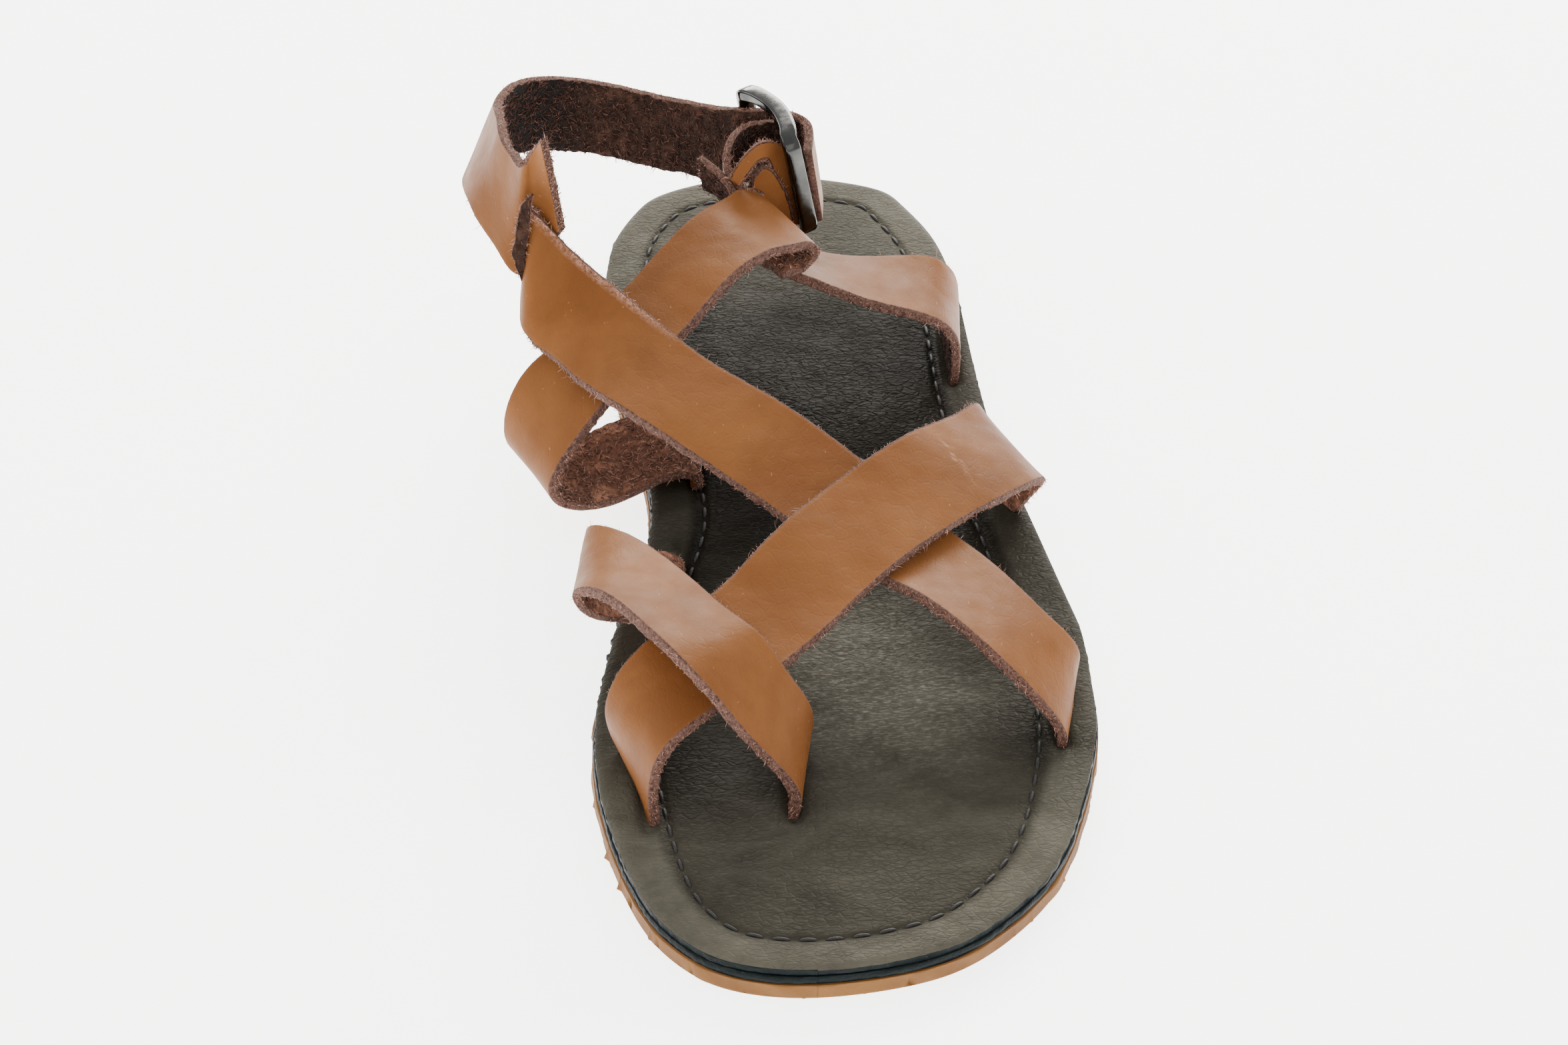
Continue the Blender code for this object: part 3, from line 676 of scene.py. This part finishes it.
def slabRings(bottom, top, grow, columns, wall):
    # rings across the sole: over the top from the inner to the outer edge, down the wall and back below,
    # and which part each point is on (0 top, 1 wall, 2 underside)
    y, inner, outer = soleSides(grow)
    crowded = 0.5 - 0.5 * np.cos(np.linspace(0, np.pi, columns))
    s = 0.35 * crowded + 0.65 * np.linspace(0, 1, columns)
    x = inner[:, None] + (outer - inner)[:, None] * s
    back = soleLook["under"]
    under = inner[:, None] + (outer - inner)[:, None] * np.linspace(1, 0, back)
    drop = np.linspace(top, bottom, wall + 2)[1:-1]
    n = len(y)
    xs = np.concatenate([x, np.repeat(outer[:, None], wall, 1), under, np.repeat(inner[:, None], wall, 1)], 1)
    zs = np.concatenate([np.full((n, columns), top), np.tile(drop, (n, 1)), np.full((n, back), bottom),
                         np.tile(drop[::-1], (n, 1))], 1)
    ys = np.repeat(y[:, None], xs.shape[1], 1)
    return np.stack([xs, ys, zs], -1), np.repeat([0, 1, 2, 1], [columns, wall, back, wall])


def pushOut(rings, part, amount):
    # wall points move away from the sole's middle line by an amount for each
    line = np.clip(rings[..., 1], *soleLook["middleY"])
    centre = np.stack([np.full(line.shape, soleLook["middleX"]), line], -1)
    away = unit(rings[..., :2] - centre)
    rings = rings.copy()
    rings[..., :2] += away * np.where(part == 1, amount, 0.0)[..., None]
    return rings


# Columns: x and y of the slot's middle; every slot runs 24 mm along the shoe
slotRows = ((-15, -88), (-34, -19), (-46, -89), (35, 15), (44, -67), (-36, 55), (-29, 28), (34, 65))
# Soft hollows and swells of the footbed: x, y, reach across and along, turn in degrees and height
dentRows = (
    (-10, -66, 24, 16, 10, -0.55), (22, -72, 16, 20, -15, 0.45), (5, -104, 26, 10, 0, 0.35),
    (-2, 95, 20, 26, 0, -0.7), (4, -86, 7, 5, 30, -0.5), (-24, -96, 6, 9, 15, 0.4),
    (10, 20, 22, 30, 0, -0.3), (-20, -40, 12, 16, 0, 0.4), (30, -20, 9, 22, 8, 0.45),
    (18, -116, 18, 6, -12, -0.3), (-30, -112, 10, 8, 20, -0.3), (27, 88, 6, 14, 0, 0.35),
    (-32, 96, 6, 16, 0, 0.35), (32, 40, 7, 12, 0, -0.4), (-27, 0, 6, 14, 0, -0.45))


def stitchPath():
    # the outline moved inward by the table's inset, blended between its two sides
    loop, _ = soleOutline(900)
    table = np.array(stitchRows, float)
    far = soleLook["heelY"] - loop[:, 1]
    side = np.clip((loop[:, 0] + 8) / 24 + 0.5, 0, 1)   # 0 inner to 1 outer, over 24 mm about x = -8
    inner, outer = (np.interp(far, table[:, 0], table[:, k]) for k in (1, 2))
    gap = inner * (1 - side) + outer * side
    return loopEased(loop - outward(loop) * gap[:, None], 30)


stitchLine = stitchPath()
# Depth and reach in mm of what lowers the footbed, and height, size and seed of its lumps
sinkLook = {"rim": (0.75, 0.9), "groove": (0.55, 0.75), "grooveDip": (0.25, 3.2), "slot": (1.5, 1.7),
            "slotDip": (0.45, 5.5), "slotHalf": 12.0, "lumps": ((0.10, 24, 5), (0.045, 9, 6), (0.02, 3.2, 7))}


def sunk(key, away, power=2):
    # depth times the bell curve of the distance over the reach
    depth, reach = sinkLook[key]
    return depth * np.exp(-(away / reach) ** power)


def footbedHeight(x, y, edge, stitched):
    # flat leather lowered at its rim, in the stitch groove and at the slots, with listed hollows
    z = np.full(x.shape, soleLook["footbed"][1])
    z = z - sunk("rim", edge, 1.3)
    z = z - sunk("groove", stitched) - sunk("grooveDip", stitched)
    for sx, sy in slotRows:
        away = np.hypot(x - sx, np.maximum(np.abs(y - sy) - sinkLook["slotHalf"], 0))
        z = z - sunk("slot", away) - sunk("slotDip", away)
    for dx, dy, rx, ry, turn, high in dentRows:
        c, s = math.cos(math.radians(turn)), math.sin(math.radians(turn))
        u, v = (x - dx) * c + (y - dy) * s, (y - dy) * c - (x - dx) * s
        z = z + high * np.exp(-(u / rx) ** 2 - (v / ry) ** 2)
    spots = np.stack([x, y], -1)
    bumps = sum(tall * lumps(spots, size, seed) for tall, size, seed in sinkLook["lumps"])
    return z + np.clip(edge / 6, 0, 1) * bumps


footbedLook = {"grow": -0.35, "wall": 5, "nick": 0.05, "nickStep": 0.8, "waist": 0.30, "waistY": -25,
               "waistReach": 45}
# Strength of the painted sheen at each place, then in mm the ball's middle and reach, where the painted sheen
# at toe and heel begins and how fast it grows, and the rim's width and fade
paintedSheenLook = {"wall": 0.3, "ball": 1.1, "ballShine": 1.15, "toe": 0.42, "heel": 0.62, "rim": 0.28,
              "rimEnds": 0.2, "ballX": 7, "ballY": -55, "ballReach": 31, "from": 78, "toeReach": 25,
              "heelReach": 32, "rimWide": 8.5, "rimFade": 4, "endsAt": 110}


def paintedSheenMarks(x, y, edge, stitched, shape):
    # painted sheen of the top as a sum of its places, and the ball's alone for painted glints, each held to 0
    # to 1
    look = paintedSheenLook
    ball = np.exp(-((x - look["ballX"]) / look["ballReach"]) ** 2
                  - ((y - look["ballY"]) / look["ballReach"]) ** 2)
    toe = np.clip((-y - look["from"]) / look["toeReach"], 0, 1)
    heel = np.clip((y - look["from"]) / look["heelReach"], 0, 1)
    ends = np.clip(np.abs(y) / look["endsAt"], 0, 1)
    rim = np.clip((look["rimWide"] - (edge - stitched)) / look["rimFade"], 0, 1) \
        * (look["rim"] + look["rimEnds"] * ends)
    paintedSheen, shine = np.full(shape, look["wall"]), np.zeros(shape)
    lightShare = look["ball"] * ball + look["toe"] * toe + look["heel"] * heel + rim * (1 - ball)
    paintedSheen[:, :soleLook["columns"]] = np.clip(lightShare, 0, 1)
    shine[:, :soleLook["columns"]] = np.clip(look["ballShine"] * ball, 0, 1)
    return {"paintedSheen": paintedSheen, "ball": shine}


def makeFootbed():
    # the top follows the height function, and the wall is stretched to meet it
    low, high = soleLook["footbed"]
    columns = soleLook["columns"]
    rings, part = slabRings(low, high, footbedLook["grow"], columns, footbedLook["wall"])
    top = rings[:, part == 0]
    plan = top[..., :2].reshape(-1, 2)
    edge = nearest(plan, loopClosed(outlineFine, 5)).reshape(top.shape[:2])
    stitched = nearest(plan, loopClosed(stitchLine, 3)).reshape(top.shape[:2])
    inner = np.maximum(edge + footbedLook["grow"], 0)
    rings[:, :columns, 2] = footbedHeight(top[..., 0], top[..., 1], inner, stitched)
    start, end = rings[:, [0]], rings[:, [columns - 1]]
    rim = np.where(rings[..., 0] > rings[..., 0].mean(1)[:, None], end[..., 2], start[..., 2])
    share = (rings[..., 2] - low) / (high - low)
    rings[..., 2] = np.where(part == 1, low + share * (rim - low), rings[..., 2])
    # torn leather at the waist, small bruises elsewhere
    y = rings[..., 1]
    waist = np.exp(-((y - footbedLook["waistY"]) / footbedLook["waistReach"]) ** 4) * (rings[..., 0] < 0)
    nicks = jagged(y[:, 0] + 200, footbedLook["nickStep"], 41)[:, None]
    rough = nicks * (footbedLook["nick"] + footbedLook["waist"] * waist) \
        + lumps(rings, 3.0, 42) * 0.10 + lumps(rings, 14, 43) * 0.12
    rings = pushOut(rings, part, rough)
    piece = skin("footbed", rings, kinds=(part > 0).astype(int),
                 marks=paintedSheenMarks(top[..., 0], top[..., 1], edge, stitched, rings.shape[:2]))
    for look in (leatherTop, edgeDark):
        piece.data.materials.append(look)
    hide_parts("footbed")


# The last two tones are painted light: a painted sheen and painted glints
footbedTones = {"dark": (0.0036, 0.0031, 0.0022), "brown": (0.0105, 0.0086, 0.0056),
                "dust": (0.040, 0.036, 0.027), "paintedSheen": (0.079, 0.0735, 0.057),
                "bright": (0.195, 0.192, 0.165)}


def footbedLeather():
    # dark grained leather: pebbles drawn out across the shoe, worn brown patches, dust in the dips, a painted
    # sheen and painted glints at the ball
    mat, tree, shader = newMaterial("footbedLeather", 0.5, Specular_IOR_Level=0.016)
    where = place(tree)
    across = place(tree, (0.75, 1.2, 1.0))
    pebble = cells(tree, across, 1250)
    folds = cells(tree, place(tree, (0.6, 1.25, 1.0)), 620, "DISTANCE_TO_EDGE")
    patch = noise(tree, where, 22, 4, 0.6, 0.5)
    colour = blend(tree, fit(tree, patch, 0.36, 0.66), footbedTones["dark"], footbedTones["brown"])
    dust = fit(tree, noise(tree, where, 260, 4, 0.7), 0.62, 0.82, 0, 0.35)
    colour = blend(tree, dust, colour, footbedTones["dust"])
    # painted sheen: the top turns to a lighter tone by its marks, a little unevenly
    uneven = fit(tree, noise(tree, across, 75, 4, 0.65, 0.5), 0.25, 0.75, 0.55, 1.25)
    paintedSheen = combine(tree, "MULTIPLY", mark(tree, "paintedSheen"), uneven)
    colour = blend(tree, paintedSheen, colour, footbedTones["paintedSheen"])
    # painted glints on the pebble tops at the ball
    tops = fit(tree, noise(tree, place(tree, (0.42, 1.5, 1.0)), 1400, 3, 0.6), 0.48, 0.70)
    shine = combine(tree, "MULTIPLY", mark(tree, "ball"), fit(tree, paintedSheen, 0.3, 1.0, 0.15, 0.9))
    colour = blend(tree, combine(tree, "MULTIPLY", tops, shine), colour, footbedTones["bright"])
    rough = fit(tree, noise(tree, where, 60, 4, 0.6), 0.3, 0.7, 0.34, 0.5)
    worn = fit(tree, noise(tree, where, 30, 2), 0.35, 0.65, 0.35, 1.0)
    height = combine(tree, "MULTIPLY", combine(tree, "SUBTRACT", fit(tree, folds, 0, 0.12), pebble), worn)
    normal = relief(tree, height, 0.45, 0.00035)
    wire(tree, shader, colour, rough, relief(tree, noise(tree, where, 160, 3, 0.6), 0.25, 0.0008, normal))
    return mat


edgeTones = {"dark": (0.0014, 0.0028, 0.0032), "blue": (0.0045, 0.0078, 0.0084), "scuff": (0.05, 0.048, 0.04)}


def edgePaint():
    # dark blue-black edge, a little glossy, with pale scuffs and fine layers
    mat, tree, shader = newMaterial("edgePaint", 0.42, Specular_IOR_Level=0.06)
    layers = noise(tree, place(tree, (1, 1, 9)), 160, 3, 0.6)
    colour = blend(tree, fit(tree, layers, 0.35, 0.7), edgeTones["dark"], edgeTones["blue"])
    scuff = fit(tree, noise(tree, place(tree, (1, 1, 3)), 420, 5, 0.75, 0.6), 0.62, 0.78, 0, 0.7)
    wire(tree, shader, blend(tree, scuff, colour, edgeTones["scuff"]), fit(tree, layers, 0.3, 0.7, 0.35, 0.6),
         relief(tree, noise(tree, place(tree), 500, 5, 0.7), 0.6, 0.0006))
    return mat


rubberTones = {"deep": (0.104, 0.0385, 0.0046), "ochre": (0.155, 0.0635, 0.0095),
               "speck": (0.12, 0.05, 0.013)}


def outsoleRubber():
    # ochre rubber sheet: even colour with darker specks and a dry, scraped edge
    mat, tree, shader = newMaterial("outsoleRubber", 0.72, Specular_IOR_Level=0.3)
    where = place(tree)
    colour = blend(tree, fit(tree, noise(tree, where, 45, 4, 0.6), 0.35, 0.68), rubberTones["deep"],
                   rubberTones["ochre"])
    speck = fit(tree, noise(tree, where, 900, 3, 0.6), 0.66, 0.78, 0, 0.5)
    wire(tree, shader, blend(tree, speck, colour, rubberTones["speck"]),
         normal=relief(tree, noise(tree, where, 700, 5, 0.7), 0.5, 0.0004))
    return mat


leatherTop, edgeDark, ochre = footbedLeather(), edgePaint(), outsoleRubber()
makeFootbed()
print("footbed made")

midsoleLook = {"grow": -0.15, "columns": 30, "wall": 7, "bulge": 0.25}
outsoleLook = {"grow": 0.25, "columns": 30, "wall": 9, "nick": 0.55, "burr": 0.5, "flare": 0.25}


def makeMidsole():
    # its wall bulges as half a sine, with small lumps
    low, high = soleLook["midsole"]
    rings, part = slabRings(low, high, midsoleLook["grow"], midsoleLook["columns"], midsoleLook["wall"])
    share = (rings[..., 2] - low) / (high - low)
    bulge = midsoleLook["bulge"] * np.sin(share * np.pi) + lumps(rings, 2.5, 51) * 0.07 \
        + lumps(rings, 12, 52) * 0.12
    piece = skin("midsole", pushOut(rings, part, bulge))
    piece.data.materials.append(edgeDark)
    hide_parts("midsole")


def makeOutsole():
    # its wall is nicked and burred by place round the sole, most at the bottom, where it also flares
    low, high = soleLook["outsole"]
    rings, part = slabRings(low, high, outsoleLook["grow"], outsoleLook["columns"], outsoleLook["wall"])
    share = (rings[..., 2] - low) / (high - low)
    turn = np.arctan2(rings[..., 0] - soleLook["middleX"], -rings[..., 1])
    run = (turn / (2 * np.pi) + 0.5) * soleRound
    nick = np.minimum(jagged(run, 1.1, 61) + 0.9, 0) + np.minimum(jagged(run, 3.1, 62) + 1.1, 0) * 0.8
    burr = np.maximum(jagged(run, 0.9, 63) - 1.3, 0)
    push = (nick * outsoleLook["nick"] + burr * outsoleLook["burr"]) * (1.05 - share) \
        + lumps(rings, 7, 64) * 0.15 + outsoleLook["flare"] * (1 - share)
    piece = skin("outsole", pushOut(rings, part, push))
    piece.data.materials.append(ochre)
    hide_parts("outsole")


makeMidsole()
makeOutsole()
print("sole layers made")

stitchLook = {"pitch": 5.5, "gap": 1.7, "thick": 0.44, "arch": 0.62, "sunk": 0.32, "rings": 10, "corners": 8,
              "dark": (0.004, 0.004, 0.004), "light": (0.02, 0.019, 0.018)}


def makeStitches():
    # each stitch is a short arched thread along a piece of the stitch line, thinner at its ends
    line = loopClosed(stitchLine)
    run = runOf(line)
    count = int(run[-1] / stitchLook["pitch"])
    start = np.arange(count) * run[-1] / count
    n, m = stitchLook["rings"], stitchLook["corners"]
    t = np.linspace(0, 1, n)
    at = start[:, None] + stitchLook["gap"] / 2 + t * (run[-1] / count - stitchLook["gap"])
    x, y = np.interp(at, run, line[:, 0]), np.interp(at, run, line[:, 1])
    flat = np.stack([x.ravel(), y.ravel()], 1)
    edge = nearest(flat, loopClosed(outlineFine, 5))
    base = footbedHeight(flat[:, 0], flat[:, 1], edge, np.zeros(len(flat))).reshape(x.shape)
    arch = 4 * t * (1 - t)
    z = base + stitchLook["arch"] * arch ** 0.5 - stitchLook["sunk"]
    mid = np.stack([x, y, z], -1)
    ahead = unit(np.gradient(mid, axis=1))
    side = unit(np.cross(ahead, np.array([0.0, 0.0, 1.0])))
    ring = tube(mid, side, np.cross(side, ahead), m, stitchLook["thick"] * (0.55 + 0.45 * arch ** 0.4))
    first = (np.arange(count) * n * m)[:, None, None]
    ends = np.stack([np.arange(m)[::-1], (n - 1) * m + np.arange(m)])
    piece = putMesh("stitches", ring.reshape(-1, 3), [(first + ringFaces(n, m)).reshape(-1, 4),
                                                      (first + ends).reshape(-1, m)])
    mat, tree, shader = newMaterial("blackThread", 0.6, Specular_IOR_Level=0.3)
    twist = noise(tree, place(tree), 2600, 2)
    wire(tree, shader, blend(tree, twist, stitchLook["dark"], stitchLook["light"]),
         normal=relief(tree, twist, 0.5, 0.0002))
    piece.data.materials.append(mat)


makeStitches()
print("stitches made")

buckleLook = {"near": ((-3.8, 74, 62), (1.2, 74, 37)), "far": ((-13.2, 98, 61.5), (-8.2, 98, 36.5)),
              "bow": 3.0, "bar": 3.0, "deep": 3.9, "round": 2.6, "squareness": 0.4,
              "dark": (0.030, 0.031, 0.031), "light": (0.065, 0.065, 0.062)}
# Columns: share of the way from the near to the far bar, and how far the prong stands off in mm
prongRows = ((0.09, 0.2), (0.2, 0.5), (0.55, 2.2), (0.85, 2.7), (1.08, 2.5))


def bucklePath(count):
    # rounded rectangle through the bars' ends; the short sides bow outward as half a sine
    nearTop, nearLow = (np.array(p, float) for p in buckleLook["near"])
    farTop, farLow = (np.array(p, float) for p in buckleLook["far"])
    out = unit(np.cross(farTop - nearTop, nearLow - nearTop))
    out = out if out[0] > 0 else -out
    corners = np.array([nearTop, farTop, farLow, nearLow])
    path = []
    for i in range(4):
        a, b = corners[i], corners[(i + 1) % 4]
        c = corners[(i + 2) % 4]
        size = np.linalg.norm(b - a)
        cut = buckleLook["round"] / size
        t = np.linspace(cut, 1 - cut, count)[:, None]
        bow = buckleLook["bow"] if i in (0, 2) else 0.0
        path.append(a + (b - a) * t + out * bow * np.sin(np.pi * t))
        q = np.linspace(0, np.pi / 2, 9)[1:-1, None]
        r = buckleLook["round"]
        inA, inB = unit(b - a), unit(c - b)
        path.append(b - inA * r + inB * r + inA * r * np.sin(q) - inB * r * np.cos(q))
    return np.concatenate(path), out


def metalLook():
    # dark plated metal, unevenly rubbed
    mat, tree, shader = newMaterial("darkNickel", 0.16, 1.0)
    where = place(tree)
    lightShare = fit(tree, noise(tree, where, 120, 4, 0.6), 0.3, 0.7)
    wire(tree, shader, blend(tree, lightShare, buckleLook["dark"], buckleLook["light"]),
         fit(tree, noise(tree, where, 400, 4), 0.3, 0.7, 0.10, 0.24),
         relief(tree, noise(tree, where, 350, 2), 0.06, 0.0004))
    return mat


def makeBuckle():
    # the frame is a squared circle (sines raised to a power under one) carried round its path
    path, out = bucklePath(26)
    path = loopEased(path, 4)
    ahead = unit(loopAhead(path))
    side = unit(np.cross(ahead, out))
    face = np.cross(side, ahead)
    turn = np.linspace(0, 2 * np.pi, 25)[:-1]
    c, s = (np.sign(v) * np.abs(v) ** buckleLook["squareness"] for v in (np.cos(turn), np.sin(turn)))
    rings = path[:, None] + side[:, None] * (c * buckleLook["bar"] / 2)[:, None] \
        + face[:, None] * (s * buckleLook["deep"] / 2)[:, None]
    frameRing = skin("buckleFrame", rings, closed=True)
    # the prong is a round rod of 1 mm radius, rounded off at its tip
    near, far = (np.array(buckleLook[k], float).mean(0) for k in ("near", "far"))
    rows = smoothRows(prongRows, 40)
    mid = near + (far - near) * rows[:, :1] + out * rows[:, 1:]
    ahead = unit(np.gradient(mid, axis=0))
    side = unit(np.cross(ahead, out))
    t = np.linspace(0, 1, len(mid))
    size = np.sqrt(np.clip(1 - np.clip((t - 0.93) / 0.075, 0, 1) ** 2, 0.02, 1))
    prong = skin("buckleProng", tube(mid, side, np.cross(side, ahead), 16, size))
    metal = metalLook()
    for piece, node, slotName in ((frameRing, "buckle_frame", "buckle_metal"),
                                  (prong, "buckle_prong", "prong_metal")):
        piece.data.materials.append(metal)
        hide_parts(node)


makeBuckle()
print("buckle made")

# Half the floor's side in m; the floor glows like a light table
stageLook = {"half": 4, "floor": (0.93, 0.93, 0.92, 1), "light": (1.0, 1.0, 0.985, 1), "floorGlow": 3.6,
             "world": 1.6, "lamps": (1.0, 0.95, 0.89)}


def makeStage():
    # a flat square floor and an even white world
    half = stageLook["half"]
    floorMesh = bpy.data.meshes.new("floor")
    floorMesh.from_pydata([(-half, -half, 0), (half, -half, 0), (half, half, 0), (-half, half, 0)], [],
                          [(0, 1, 2, 3)])
    floor = bpy.data.objects.new("floor", floorMesh)
    bpy.context.scene.collection.objects.link(floor)
    mat, _, shader = newMaterial("paleFloor", 0.6, Specular_IOR_Level=0.3)
    shader.inputs["Base Color"].default_value = stageLook["floor"]
    shader.inputs["Emission Color"].default_value = stageLook["light"]
    shader.inputs["Emission Strength"].default_value = stageLook["floorGlow"]
    floorMesh.materials.append(mat)
    world = bpy.data.worlds.new("studio")
    world.use_nodes = True
    sky = world.node_tree.nodes["Background"]
    sky.inputs["Color"].default_value = stageLook["light"]
    sky.inputs["Strength"].default_value = stageLook["world"]
    bpy.context.scene.world = world


# Columns: name, place in m, aimed at, width, height, watts
lightRows = (
    ("backSoft", (0.35, 1.5, 0.75), (0, 0, 0.02), 1.5, 0.6, 74.0),
    ("leftSoft", (-1.2, 0.1, 0.9), (0, 0, 0.02), 1.1, 0.9, 9.0),
    ("frontFill", (0.3, -1.4, 0.8), (0, -0.05, 0.0), 1.4, 0.9, 9.0))


def makeLights():
    # area lamps, each turned to look at its aim
    for name, at, aim, width, height, watts in lightRows:
        lamp = bpy.data.lights.new(name, 'AREA')
        lamp.shape, lamp.size, lamp.size_y, lamp.energy = 'RECTANGLE', width, height, watts
        lamp.color = stageLook["lamps"]
        piece = bpy.data.objects.new(name, lamp)
        bpy.context.scene.collection.objects.link(piece)
        back = unit(np.array(at, float) - np.array(aim, float))
        right = unit(np.cross(np.array([0.0, 0.0, 1.0]), back))
        up = np.cross(back, right)
        piece.matrix_world = Matrix.Translation(at) @ Matrix(np.stack([right, up, back], 1).tolist()).to_4x4()


# The camera's place in mm, its forward and right directions, and how far it is then turned right in degrees
cameraLook = {"at": (-82.5, -830.9, 654.0), "ahead": (0.0254, 0.7901, -0.6125),
              "right": (0.99915, -0.0400, -0.0102), "turn": 2.49, "lens": 107.15, "sensor": 36.0,
              "near": 0.05}


def makeCamera():
    # forward and right are turned together about the camera's own upright
    ahead, right = unit(np.array(cameraLook["ahead"])), unit(np.array(cameraLook["right"]))
    turn = math.radians(cameraLook["turn"])
    ahead, right = (ahead * math.cos(turn) + right * math.sin(turn),
                    right * math.cos(turn) - ahead * math.sin(turn))
    up = np.cross(right, ahead)
    camera = bpy.data.cameras.new("camera")
    camera.lens, camera.sensor_width = cameraLook["lens"], cameraLook["sensor"]
    camera.clip_start = cameraLook["near"]
    piece = bpy.data.objects.new("camera", camera)
    bpy.context.scene.collection.objects.link(piece)
    spot = Matrix.Translation([v * mm for v in cameraLook["at"]])
    piece.matrix_world = spot @ Matrix(np.stack([right, up, -ahead], 1).tolist()).to_4x4()
    bpy.context.scene.camera = piece


makeStage()
makeLights()
makeCamera()
print("stage set")
